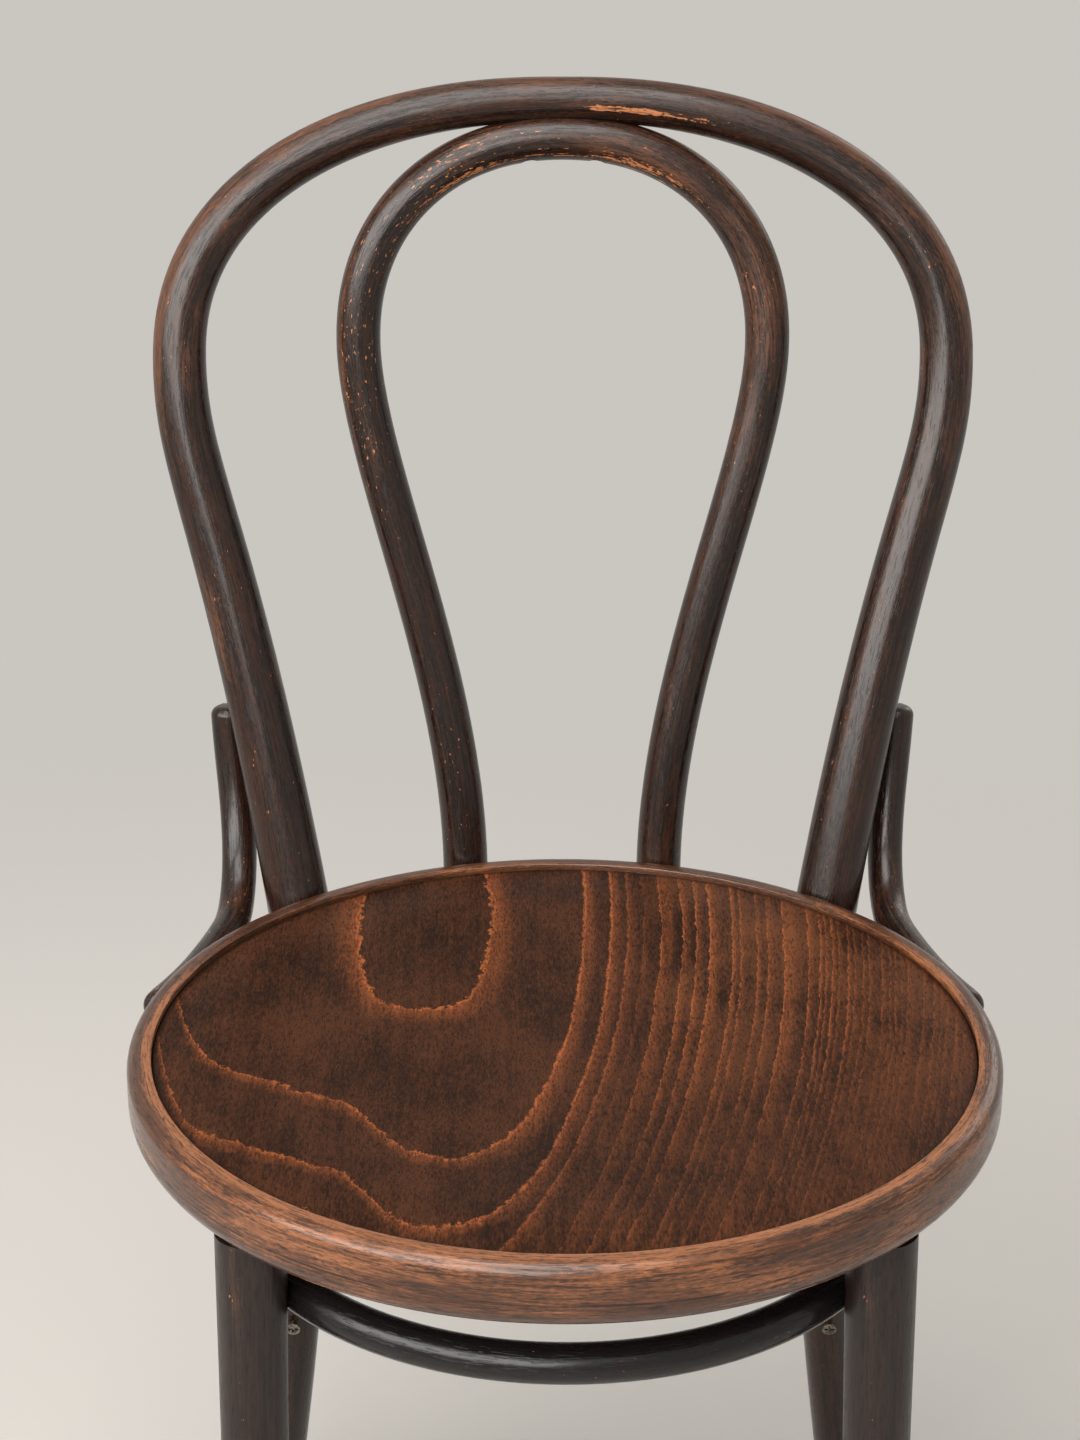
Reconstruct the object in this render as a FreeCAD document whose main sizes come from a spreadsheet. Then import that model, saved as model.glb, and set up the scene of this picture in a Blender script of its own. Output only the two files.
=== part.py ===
# Round-seat bentwood chair. The back legs and outer hoop are one bent rod, a smaller loop
# stands inside the hoop, hip braces tie hoop and seat ring, and a bent ring ties the legs.
# Millimetres. X to the right, Y to the back, Z up, floor at Z = 0.
import FreeCAD, Part
import math
import os
import re
import Sketcher
from FreeCAD import Placement, Rotation, Vector

# Driving sizes of the chair
SIZES = {
    # overall heights
    "chair_height": 856.0,
    "seat_height": 460.0,
    # seat ring, a bent solid rim with a rebate for the panel
    "ring_radius": 204.5,
    "ring_width": 39.5,
    "ring_thickness": 33.5,
    "ring_top_rounding": 6.5,
    "ring_lower_rounding": 14.0,
    "ring_inner_chamfer": 3.0,
    # seat panel, moulded plywood let into the ring
    "panel_margin": 11.9,
    "panel_thickness": 8.0,
    "panel_recess": 3.0,
    "panel_dish": 7.0,
    "panel_flat": 34.6,
    "panel_clearance": 0.4,
    # outer hoop and back legs, a turned rod thickest at the seat
    "bow_base_drop": 20.0,
    "hoop_side_inset": 10.5,
    "hoop_shoulder_rise": 288.0,
    "hoop_shoulder_pull": 60.0,
    "hoop_fullness": 2.2,
    "hoop_lean_angle": 14.0,
    "hoop_base_inset": 69.0,
    "hoop_base_pull": 215.0,
    "hoop_base_slope": 0.17,
    "hoop_top_diameter": 22.0,
    "hoop_seat_diameter": 32.4,
    "waist_drop": 40.0,
    "waist_inset": 2.0,
    "waist_advance": 6.0,
    "back_foot_inset": 35.5,
    "back_foot_reach": 42.5,
    "back_foot_diameter": 25.0,
    "back_leg_flare": 1.5,
    # inner loop
    "loop_half_width": 103.9,
    "loop_shoulder_rise": 289.6,
    "loop_shoulder_pull": 64.0,
    "loop_fullness": 2.15,
    "loop_base_x": 50.9,
    "loop_base_pull": 113.0,
    "loop_base_slope": -0.02,
    "loop_top_diameter": 22.0,
    "loop_foot_diameter": 23.4,
    "loop_top_notch": 2.9,
    "loop_end_rounding": 3.0,
    # depth that back legs and loop are let into the ring's side
    "rod_notch": 2.6,
    # front legs, turned, with a tenon in the ring
    "front_leg_inset": 21.5,
    "front_leg_angle": 49.4,
    "front_leg_diameter": 32.2,
    "front_foot_diameter": 25.5,
    "front_leg_splay_angle": 1.0,
    "tenon_diameter": 20.0,
    "tenon_length": 18.0,
    # leg ring under the seat, let into the legs
    "leg_ring_inset": 52.5,
    "leg_ring_diameter": 18.3,
    "leg_ring_drop": 72.0,
    "leg_ring_housing": 1.2,
    # hip braces
    "brace_inset": 32.5,
    "brace_diameter": 18.0,
    "brace_top_rise": 89.0,
    "brace_top_slope": 0.1,
    "brace_top_pull": 60.0,
    "brace_bend_inset": 54.5,
    "brace_bend_pull": 45.0,
    "brace_flare_inset": 34.5,
    "brace_drop": 17.0,
    "brace_end_y": 68.0,
    "brace_end_thickness": 11.2,
    "brace_end_rounding": 5.0,
    # clear pads on the back legs
    "pad_height": 210.0,
    "pad_length": 70.0,
    "pad_width": 22.0,
    "pad_tip_width": 14.0,
    "pad_tip_rounding": 6.0,
    "pad_thickness": 3.0,
    "pad_screw_inset": 13.0,
    # foot glides and their nails
    "glide_diameter": 22.0,
    "glide_thickness": 5.0,
    "glide_chamfer": 1.2,
    "nail_diameter": 2.4,
    "nail_length": 20.0,
    "nail_head_diameter": 7.0,
    "nail_head_thickness": 1.2,
    "nail_recess": 1.0,
    # bolts of the back legs
    "bolt_drop": 22.0,
    "bolt_diameter": 6.0,
    "bolt_head_diameter": 16.0,
    "bolt_head_height": 4.0,
    "bolt_spot_depth": 2.3,
    "bolt_end": 2.0,
    "socket_width": 4.0,
    "socket_depth": 2.5,
    "washer_diameter": 16.0,
    "washer_thickness": 1.6,
    "washer_spot_depth": 0.5,
    "nut_width": 10.0,
    "nut_thickness": 5.0,
    # countersunk wood screws
    "screw_diameter": 4.0,
    "screw_head_diameter": 8.0,
    "screw_head_height": 2.4,
    "slot_width": 1.2,
    "slot_length": 5.0,
    "slot_depth": 1.4,
    "long_screw_length": 45.0,
    "short_screw_length": 26.0,
    "pad_screw_length": 20.0,
    "screw_sinking": 1.2,
    "loop_screw_x": 17.0,
    "loop_screw_sinking": 3.0,
    "brace_screw_drop": 14.0,
    "brace_screw_inset": 13.0,
    "brace_screw_spacing": 21.0,
    # how far hole cutters run out behind a head, the wood left beside a hole or notch, and
    # how far the flat foot of a leaning back leg reaches up its side
    "hole_mouth": 16.0,
    "hole_wall": 2.0,
    "foot_rise": 6.0,
    # clearances
    "fit_clearance": 0.15,
    "seat_clearance": 0.3,
}

# Sizes worked out from the driving ones, so that every piece follows the ring and the seat
WORKED_OUT = {
    "ring_bottom": "seat_height - ring_thickness",
    "ring_inner_radius": "ring_radius - ring_width",
    "panel_radius": "ring_radius - panel_margin",
    "panel_dish_radius": "panel_radius - panel_flat",
    "rebate_radius": "panel_radius + panel_clearance",
    "rebate_floor": "ring_thickness - panel_recess - panel_thickness",
    "bow_base": "seat_height - bow_base_drop",
    "hoop_half_width": "ring_radius - hoop_side_inset",
    "hoop_base_x": "ring_radius - hoop_base_inset",
    "hoop_base_radius": "ring_radius + hoop_seat_diameter / 2 - rod_notch",
    "loop_base_radius": "ring_radius + loop_foot_diameter / 2 - rod_notch",
    "waist_height": "bow_base - waist_drop",
    "back_foot_x": "ring_radius - back_foot_inset",
    "back_foot_y": "ring_radius + back_foot_reach",
    "front_leg_x": "(ring_radius - front_leg_inset) * sin(front_leg_angle * 1 deg)",
    "front_leg_y": "(ring_radius - front_leg_inset) * cos(front_leg_angle * 1 deg)",
    "leg_ring_radius": "ring_radius - leg_ring_inset",
    "leg_ring_height": "seat_height - leg_ring_drop",
    "brace_x": "ring_radius - brace_inset",
    "brace_height": "seat_height - brace_drop",
    "brace_top_height": "seat_height + brace_top_rise",
    "brace_bend_y": "ring_radius - brace_bend_inset",
    "brace_flare_y": "ring_radius - brace_flare_inset",
    "bolt_height": "seat_height - bolt_drop",
}

# Spacing of the sections along a bent rod: by length and by turning, and the least run
# beside the sections that bound a hole or a notch
SECTION_LENGTH = 90.0
SECTION_TURN = math.radians(9.0)
SECTION_LEAST = 4.0
FINE_STEPS = 400
DISH_STEPS = 5
LEG_RING_STEPS = 18
LEG_RING_SCREW_TURN = math.radians(2.5)

doc = FreeCAD.newDocument("bentwood_chair")
sheet = doc.addObject("Spreadsheet::Sheet", "Sizes")
for row, (name, value) in enumerate({**SIZES, **WORKED_OUT}.items(), start=1):
    sheet.set("A%d" % row, name)
    sheet.set("B%d" % row, "=%s" % value)
    sheet.setAlias("B%d" % row, name)
doc.recompute()


def in_sheet(expression):
    """The expression with each size written as a cell of the sheet."""
    names = set(SIZES) | set(WORKED_OUT)
    return re.sub(r"[a-z_]+", lambda m: "Sizes." + m[0] if m[0] in names else m[0], str(expression))


def size(expression):
    """The value of a size or of an expression of sizes."""
    return float(sheet.evalExpression(in_sheet(expression)))


def bind(thing, **expressions):
    """Ties properties of an object to the sheet."""
    for name, expression in expressions.items():
        thing.setExpression(name, in_sheet(expression))
    return thing


# Bodies, sketches and features
def new_body(label):
    body = doc.addObject("PartDesign::Body", label)
    body.Label = label
    return body


def origin_of(body, role):
    return next(f for f in body.Origin.OriginFeatures if f.Role == role)


def sketch_on(body, name, role):
    sketch = body.newObject("Sketcher::SketchObject", name)
    sketch.AttachmentSupport = [(origin_of(body, role), "")]
    sketch.MapMode = "FlatFace"
    return sketch


def place_point(sketch, edge, end, across, up):
    """Holds one end of an edge at a distance across and up from the sketch's origin."""
    for kind, axis, expression in (("DistanceX", -2, across), ("DistanceY", -1, up)):
        if abs(size(expression)) < 1e-9:
            sketch.addConstraint(Sketcher.Constraint("PointOnObject", edge, end, axis))
            continue
        held = sketch.addConstraint(Sketcher.Constraint(kind, -1, 1, edge, end, size(expression)))
        sketch.setExpression("Constraints[%d]" % held, in_sheet(expression))


def outline(sketch, corners, arcs=None):
    """A closed outline through corners given as pairs of sizes. Arcs gives the sides that are
    arcs their radius, positive where the centre lies on the left of the way round."""
    arcs = arcs or {}
    spots = [Vector(size(across), size(up), 0) for across, up in corners]
    ends = []
    for k, start in enumerate(spots):
        stop = spots[(k + 1) % len(spots)]
        if k not in arcs:
            sketch.addGeometry(Part.LineSegment(start, stop), False)
            ends.append((1, 2))
            continue
        radius = size(arcs[k])
        chord = stop - start
        left = Vector(-chord.y, chord.x, 0).normalize()
        inset = math.copysign(math.sqrt(radius**2 - chord.Length**2 / 4), radius)
        centre = start + chord / 2 + left * inset
        turn = [math.atan2(p.y - centre.y, p.x - centre.x) for p in (start, stop)]
        circle = Part.Circle(centre, Vector(0, 0, 1), abs(radius))
        sketch.addGeometry(Part.ArcOfCircle(circle, min(turn), max(turn)), False)
        ends.append((1, 2) if turn[0] < turn[1] else (2, 1))
    for k in range(len(corners)):
        after = (k + 1) % len(corners)
        sketch.addConstraint(
            Sketcher.Constraint("Coincident", k, ends[k][1], after, ends[after][0])
        )
    for k, (across, up) in enumerate(corners):
        place_point(sketch, k, ends[k][0], across, up)
    for k, radius in arcs.items():
        held = sketch.addConstraint(Sketcher.Constraint("Radius", k, abs(size(radius))))
        sketch.setExpression("Constraints[%d]" % held, "abs(%s)" % in_sheet(radius))


def turned(label, corners, arcs=None):
    """A body turned about its upright axis."""
    body = new_body(label)
    profile = sketch_on(body, label + "_profile", "XZ_Plane")
    outline(profile, corners, arcs)
    turning = body.newObject("PartDesign::Revolution", label + "_turning")
    turning.Profile = profile
    turning.ReferenceAxis = (origin_of(body, "Z_Axis"), [""])
    turning.Angle = 360
    doc.recompute()
    return body


def round_over(body, name, rounding, edges):
    """Rounds edges of the body's last feature."""
    base = body.Tip
    fillet = body.newObject("PartDesign::Fillet", name)
    fillet.Base = (base, edges)
    bind(fillet, Radius=rounding)
    body.Tip = fillet
    doc.recompute()


def circles_at(body, radius, height):
    """Names of a body's circular edges of a radius at a height."""
    names = []
    for number, edge in enumerate(body.Shape.Edges, start=1):
        if edge.Degenerated or not isinstance(edge.Curve, Part.Circle):
            continue
        curve = edge.Curve
        if abs(curve.Radius - size(radius)) < 1e-4 and abs(curve.Center.z - size(height)) < 1e-4:
            names.append("Edge%d" % number)
    return names


def sunk(body, name, sketch, depth):
    """Sinks a sketch on the body's underside upwards into it."""
    before = body.Shape.Volume
    pocket = body.newObject("PartDesign::Pocket", name)
    pocket.Profile = sketch
    pocket.Reversed = True
    bind(pocket, Length=depth)
    doc.recompute()
    if body.Shape.Volume >= before:
        raise ValueError(name + " takes nothing away")


def hexagon(width):
    """Corners of a hexagon of a width across its flats."""
    half, point = width + " / 2", width + " / 2 / cos(30 deg)"
    corners = []
    for k in range(6):
        turn = 60 * k + 30
        corners.append(("%s * cos(%d deg)" % (point, turn), "%s * sin(%d deg)" % (point, turn)))
    return corners


def copies(label, source, places):
    """Copies of one object as a group of separate solids."""
    links = []
    for number, place in enumerate(places, start=1):
        link = doc.addObject("App::Link", "%s_%d" % (label, number))
        link.LinkedObject = source
        link.Placement = place
        links.append(link)
    group = doc.addObject("Part::Compound", label)
    group.Links = links
    group.Label = label
    return group


def cut_away(label, base, tools):
    """The base with the tools cut from it, one after the other."""
    for number, tool in enumerate(tools, start=1):
        cut = doc.addObject("Part::Cut", "%s_cut_%d" % (label, number))
        cut.Base = base
        cut.Tool = tool
        base = cut
    base.Label = label
    return base


# Places are given from the seat's centre line: to the right, to the back, up from the floor
def bow_point(across, rise, base_y, lean):
    """A point of a bow that leans back from the base height."""
    return Vector(across, base_y + rise * math.sin(lean), size("bow_base") + rise * math.cos(lean))


LEAN = math.radians(size("hoop_lean_angle"))
HOOP_BASE_Y = math.sqrt(size("hoop_base_radius") ** 2 - size("hoop_base_x") ** 2)
LOOP_BASE_Y = math.sqrt(size("loop_base_radius") ** 2 - size("loop_base_x") ** 2)
HOOP_TOP_RISE = size("chair_height - hoop_top_diameter / 2 - bow_base") / math.cos(LEAN)
HOOP_TOP = bow_point(0, HOOP_TOP_RISE, HOOP_BASE_Y, LEAN)

# The chair's origin lies on the floor midway between the ring's front and the hoop's back
SEAT_Y = (size("ring_radius") - HOOP_TOP.y - size("hoop_top_diameter / 2")) / 2


def at(point):
    return Vector(point.x, point.y + SEAT_Y, point.z)


def placed(point, along=Vector(0, 0, 1)):
    """Placement with the upright axis turned along a direction."""
    return Placement(at(point), Rotation(Vector(0, 0, 1), along))


def mirrored(point):
    return Vector(-point.x, point.y, point.z)


def both_sides(spots):
    """Placements of (point, direction) pairs on the right and mirrored on the left."""
    left = [(mirrored(point), mirrored(along)) for point, along in spots]
    return [placed(point, along) for point, along in spots + left]


def backed_off(spots):
    """The same spots moved back against their direction by the mouth of a hole."""
    return [(point - along * size("hole_mouth"), along) for point, along in spots]


def level(point):
    """Unit vector from the chair's centre line to a point, level."""
    return Vector(point.x, point.y, 0).normalize()


# Bent rods
def bezier(poles, share):
    rest = 1 - share
    weights = (rest**3, 3 * rest**2 * share, 3 * rest * share**2, share**3)
    return sum((pole * weight for pole, weight in zip(poles, weights)), Vector())


def bow_outline(bow, top_rise, side_points=7, crown_points=7):
    """Right half of a bow from its base to its crown, as points (across, rise). The side is
    a long easy curve, the crown a quarter of a superellipse."""
    half_width = size(bow + "_half_width")
    shoulder = size(bow + "_shoulder_rise")
    base_x = size(bow + "_base_x")
    base_pull = size(bow + "_base_pull")
    poles = (
        Vector(base_x, 0),
        Vector(base_x + size(bow + "_base_slope") * base_pull, base_pull),
        Vector(half_width, shoulder - size(bow + "_shoulder_pull")),
        Vector(half_width, shoulder),
    )
    points = [bezier(poles, k / side_points) for k in range(side_points + 1)]
    power = 2 / size(bow + "_fullness")
    for k in range(1, crown_points):
        turn = k * math.pi / 2 / crown_points
        across = half_width * math.cos(turn) ** power
        rise = shoulder + (top_rise - shoulder) * math.sin(turn) ** power
        points.append(Vector(across, rise))
    points.append(Vector(0, top_rise))
    return points


def interpolated(x, xs, ys):
    """The value at x on the straight runs through (xs, ys)."""
    for x0, x1, y0, y1 in zip(xs, xs[1:], ys, ys[1:]):
        if x <= x1:
            return y0 + (y1 - y0) * (x - x0) / (x1 - x0)
    return ys[-1]


def tapered(points, first, last):
    """Radii along points that change evenly with length between two diameters."""
    runs = [0.0]
    for here, there in zip(points, points[1:]):
        runs.append(runs[-1] + (there - here).Length)
    return [interpolated(run, (0, runs[-1]), (size(first) / 2, size(last) / 2)) for run in runs]


class Rod:
    """A round rod bent along a smooth line through points, with a radius at each. Twin means
    that its two halves mirror each other."""

    def __init__(self, points, radii, twin=False):
        self.line = Part.BSplineCurve()
        self.line.interpolate(Points=points)
        self.knots = [self.line.parameter(point) for point in points]
        self.radii = radii
        self.twin = twin
        self.cuts = []

    def point(self, place):
        return self.line.value(place)

    def direction(self, place):
        return Vector(self.line.tangent(place)[0])

    def radius(self, place):
        return interpolated(place, self.knots, self.radii)

    def where(self, axis, value):
        """Place where a coordinate has a value: 0 across, 1 back, 2 up. On a twin rod it
        lies on the first half."""
        low, high = self.knots[0], self.knots[len(self.knots) // 2 if self.twin else -1]
        for _ in range(40):
            middle = (low + high) / 2
            if (self.point(middle)[axis] - value) * (self.point(low)[axis] - value) > 0:
                low = middle
            else:
                high = middle
        return middle

    def cut_between(self, low, high):
        """Keeps what is cut into the rod between two places inside a section of its own."""
        self.cuts.append((low, high))
        if self.twin:
            both_ends = self.knots[0] + self.knots[-1]
            self.cuts.append((both_ends - high, both_ends - low))

    def cut_at(self, place, half_length):
        """The same for a hole of a half length at a place."""
        share = half_length * (self.knots[-1] - self.knots[0]) / self.line.length()
        self.cut_between(place - share, place + share)

    def stations(self):
        """Places of the sections: closer together where the rod bends more, and on both
        sides of each cut."""
        first, last = self.knots[0], self.knots[-1]
        fine = [first + (last - first) * k / FINE_STEPS for k in range(FINE_STEPS + 1)]
        spent = [0.0]
        for here, there in zip(fine, fine[1:]):
            run = (self.point(there) - self.point(here)).Length / SECTION_LENGTH
            turn = self.direction(here).getAngle(self.direction(there)) / SECTION_TURN
            spent.append(spent[-1] + run + turn)
        count = math.ceil(spent[-1])
        even = [interpolated(spent[-1] * k / count, spent, fine) for k in range(count + 1)]
        least = SECTION_LEAST * (last - first) / self.line.length()
        clear = [p for p in even if all(not low - least < p < high + least for low, high in self.cuts)]
        return sorted(clear + [place for cut in self.cuts for place in cut])

    def solid(self, side, rounding=0.0, extra=0.0):
        """The rod as a solid. Side is a direction that it never runs along, rounding is the
        radius at its two ends, extra widens it."""
        first, last = self.knots[0], self.knots[-1]
        length = self.line.length()
        step = rounding * (last - first) / length
        places = [p for p in self.stations() if first + step < p < last - step]
        depths = [step * (1 - math.cos(math.radians(turn))) for turn in (0, 35, 90)]
        if not rounding:
            depths = [0.0]
        places = [first + d for d in depths] + places + [last - d for d in reversed(depths)]
        rings = []
        for place in places:
            inside = min(place - first, last - place) * length / (last - first)
            short = max(rounding - inside, 0.0)
            radius = self.radius(place) + extra - rounding + math.sqrt(rounding**2 - short**2)
            along = self.direction(place)
            across = side - along * side.dot(along)
            ring = Part.Wire(Part.makeCircle(radius))
            turn = Rotation(across, along.cross(across), along, "ZXY")
            ring.Placement = Placement(self.point(place), turn)
            rings.append(ring)
        return Part.makeLoft(rings, True, True)


def rod_object(label, solid):
    """Object of a bent rod, whose line in space lies in no plane."""
    thing = doc.addObject("Part::Feature", label)
    thing.Shape = solid
    thing.Placement = Placement(at(Vector()), Rotation())
    thing.Label = label
    return thing


FRONT = Vector(0, -1, 0)
SIDEWAYS = Vector(1, 0, 0)
UP = Vector(0, 0, 1)


# Outer hoop with the back legs: centre line of the right half, from foot to crown
def back_leg_point(drop):
    """Centre of the right back leg below the waist, at a share of the waist's height."""
    waist_x = size("hoop_base_x - waist_inset")
    waist_y = HOOP_BASE_Y - size("waist_advance")
    flare = drop ** size("back_leg_flare")
    across = waist_x + (size("back_foot_x") - waist_x) * flare
    back = waist_y + (size("back_foot_y") - waist_y) * flare
    return Vector(across, back, size("waist_height") * (1 - drop))


leg_points = [back_leg_point(drop) for drop in (1.0, 0.8, 0.6, 0.4, 0.2, 0.0)]
hoop_points = [
    bow_point(p.x, p.y, HOOP_BASE_Y, LEAN) for p in bow_outline("hoop", HOOP_TOP_RISE)
]
leg_radii = tapered(leg_points + hoop_points[:1], "back_foot_diameter", "hoop_seat_diameter")[:-1]
half_radii = leg_radii + tapered(hoop_points, "hoop_seat_diameter", "hoop_top_diameter")
half_points = leg_points + hoop_points
hoop = Rod(
    half_points + [mirrored(p) for p in half_points[-2::-1]],
    half_radii + half_radii[-2::-1],
    twin=True,
)

# Inner loop, which leans less than the hoop because it stands on the ring's back
LOOP_DROP = size("hoop_top_diameter / 2 + loop_top_diameter / 2 - loop_top_notch")
LEAN_UP = Vector(0, math.sin(LEAN), math.cos(LEAN))
LOOP_TOP = HOOP_TOP - LEAN_UP * LOOP_DROP
LOOP_LEAN = math.atan2(LOOP_TOP.y - LOOP_BASE_Y, LOOP_TOP.z - size("bow_base"))
LOOP_TOP_RISE = (LOOP_TOP.z - size("bow_base")) / math.cos(LOOP_LEAN)
LOOP_END_DROP = size("ring_thickness - bow_base_drop")
loop_half = [bow_point(size("loop_base_x"), -LOOP_END_DROP, LOOP_BASE_Y, LOOP_LEAN)]
for spot in bow_outline("loop", LOOP_TOP_RISE):
    loop_half.append(bow_point(spot.x, spot.y, LOOP_BASE_Y, LOOP_LEAN))
loop_radii = tapered(loop_half, "loop_foot_diameter", "loop_top_diameter")
loop = Rod(
    loop_half + [mirrored(p) for p in loop_half[-2::-1]],
    loop_radii + loop_radii[-2::-1],
    twin=True,
)


# Hip brace on the right: it starts behind the hoop, passes down beside it and sweeps
# forward along the ring
def brace_points():
    beside = hoop.where(2, size("brace_top_height"))
    hoop_centre = hoop.point(beside)
    apart = hoop.radius(beside) + size("brace_diameter / 2 + seat_clearance")
    brace_x = size("brace_x")
    top_y = hoop_centre.y + math.sqrt(apart**2 - (brace_x - hoop_centre.x) ** 2)
    slope = Vector(0, -size("brace_top_slope"), -1).normalize()
    top = Vector(brace_x, top_y, size("brace_top_height"))
    bend = Vector(brace_x, size("brace_bend_y"), size("brace_height"))
    poles = (
        top,
        top + slope * size("brace_top_pull"),
        bend + Vector(0, size("brace_bend_pull"), 0),
        bend,
    )
    points = [bezier(poles, k / 6) for k in range(7)]
    end_y = size("brace_end_y")
    end_radius = size("ring_radius + brace_end_thickness - brace_diameter / 2")
    end_x = math.sqrt(end_radius**2 - end_y**2)
    for share in (0.35, 0.7, 1.0):
        points.append(Vector(brace_x, bend.y + (end_y - bend.y) * share, bend.z))
    reach = size("brace_flare_y")
    for point in points:
        flare = max(reach - point.y, 0) / (reach - end_y)
        point.x += (end_x - brace_x) * flare**2
    return points[::-1]


brace_line = brace_points()
brace_radii = [size("brace_diameter / 2")] * len(brace_line)
brace = Rod(brace_line, brace_radii)
brace_left = Rod([mirrored(p) for p in brace_line], brace_radii)

# Front leg on the right: its axis passes the ring's underside here and splays outwards
SPLAY = math.tan(math.radians(size("front_leg_splay_angle")))
front_leg_top = Vector(size("front_leg_x"), -size("front_leg_y"), size("ring_bottom"))
front_leg_out = level(front_leg_top)
front_leg_up = (Vector(0, 0, 1) - front_leg_out * SPLAY).normalize()


def front_leg_at(height):
    """Centre of the right front leg at a height."""
    drop = front_leg_top.z - height
    return front_leg_top + front_leg_out * (drop * SPLAY) - Vector(0, 0, drop)


def front_leg_radius(height):
    share = height / size("ring_bottom")
    return size("front_foot_diameter / 2 * (1 - %f) + front_leg_diameter / 2 * %f" % (share, share))


# Leg ring: half rounds at front and back whose centres lie so that it is let into all legs
LEG_RING_REACH = size("leg_ring_radius + leg_ring_diameter / 2 - leg_ring_housing")
beside_front = front_leg_at(size("leg_ring_height"))
front_reach = LEG_RING_REACH + front_leg_radius(size("leg_ring_height"))
LEG_RING_FRONT_Y = beside_front.y + math.sqrt(front_reach**2 - beside_front.x**2)
back_place = hoop.where(2, size("leg_ring_height"))
beside_back = hoop.point(back_place)
back_reach = LEG_RING_REACH + hoop.radius(back_place)
LEG_RING_BACK_Y = beside_back.y - math.sqrt(back_reach**2 - beside_back.x**2)
front_centre = Vector(0, LEG_RING_FRONT_Y, size("leg_ring_height"))
back_centre = Vector(0, LEG_RING_BACK_Y, size("leg_ring_height"))


# Countersunk screw: top of the head at the origin, plain shank up the axis, cross recess
def screw(label, length):
    body = turned(
        label,
        [
            ("0", "0"),
            ("screw_head_diameter / 2", "0"),
            ("screw_diameter / 2", "screw_head_height"),
            ("screw_diameter / 2", length),
            ("0", length),
        ],
    )
    half, arm = "slot_width / 2", "slot_length / 2"
    corners = [
        (half, half),
        (half, arm),
        ("-1 * " + half, arm),
        ("-1 * " + half, half),
        ("-1 * " + arm, half),
        ("-1 * " + arm, "-1 * " + half),
        ("-1 * " + half, "-1 * " + half),
        ("-1 * " + half, "-1 * " + arm),
        (half, "-1 * " + arm),
        (half, "-1 * " + half),
        (arm, "-1 * " + half),
        (arm, half),
    ]
    recess = sketch_on(body, label + "_recess", "XY_Plane")
    outline(recess, corners)
    sunk(body, label + "_cross", recess, "slot_depth")
    return body


def screw_hole(label, length):
    """What a screw's hole takes away: a mouth behind the head, then the screw's outline."""
    head = "screw_head_diameter / 2 + fit_clearance"
    shank = "screw_diameter / 2 + fit_clearance"
    return turned(
        label,
        [
            ("0", "0"),
            (head, "0"),
            (head, "hole_mouth + fit_clearance"),
            (shank, "hole_mouth + fit_clearance + screw_head_height"),
            (shank, "hole_mouth + seat_clearance + " + length),
            ("0", "hole_mouth + seat_clearance + " + length),
        ],
    )


short_screw = screw("short_screw", "short_screw_length")
long_screw = screw("long_screw", "long_screw_length")
pad_screw = screw("pad_screw", "pad_screw_length")
short_hole = screw_hole("short_screw_hole", "short_screw_length")
long_hole = screw_hole("long_screw_hole", "long_screw_length")
pad_hole = screw_hole("pad_screw_hole", "pad_screw_length")

# Screw heads on the right side and the direction of each screw
SINKING = size("screw_sinking")
loop_foot = Vector(size("loop_base_x"), LOOP_BASE_Y, 0)
loop_foot_head = loop_foot + level(loop_foot) * (size("loop_foot_diameter / 2") - SINKING)
loop_foot_head.z = size("bolt_height")
loop_foot_spots = [(loop_foot_head, -level(loop_foot))]

loop_top_head = LOOP_TOP - LEAN_UP * size("loop_top_diameter / 2 - loop_screw_sinking")
loop_top_head.x = size("loop_screw_x")
loop_top_spots = [(loop_top_head, LEAN_UP)]

BRACE_SINKING = size("brace_diameter / 2") - SINKING
brace_screw_height = size("brace_top_height - brace_screw_drop")
brace_beside = brace.point(brace.where(2, brace_screw_height))
hoop_beside = hoop.point(hoop.where(2, brace_screw_height))
inward = (hoop_beside - brace_beside).normalize()
brace_top_spots = [(brace_beside - inward * BRACE_SINKING, inward)]

BRACE_END_SCREWS = ("brace_screw_inset", "brace_screw_inset + brace_screw_spacing")
brace_end_spots = []
for back in BRACE_END_SCREWS:
    centre = brace.point(brace.where(1, size("brace_end_y + " + back)))
    brace_end_spots.append((centre + level(centre) * BRACE_SINKING, -level(centre)))

leg_ring_spots = []
for centre, leg in ((front_centre, beside_front), (back_centre, beside_back)):
    outward = (leg - centre).normalize()
    inside = size("leg_ring_radius - leg_ring_diameter / 2") + SINKING
    leg_ring_spots.append((centre + outward * inside, outward))

tenon_head = front_leg_out * (size("ring_inner_radius") + SINKING)
tenon_head.z = size("bolt_height")
tenon_spots = [(tenon_head, front_leg_out)]

loop_foot_holes = copies("loop_foot_holes", long_hole, both_sides(backed_off(loop_foot_spots)))
loop_top_holes = copies("loop_top_holes", short_hole, both_sides(backed_off(loop_top_spots)))
brace_top_holes = copies("brace_top_holes", short_hole, both_sides(backed_off(brace_top_spots)))
brace_end_holes = copies("brace_end_holes", short_hole, both_sides(backed_off(brace_end_spots)))
leg_ring_holes = copies("leg_ring_holes", short_hole, both_sides(backed_off(leg_ring_spots)))
tenon_holes = copies("tenon_holes", short_hole, both_sides(backed_off(tenon_spots)))

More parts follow.
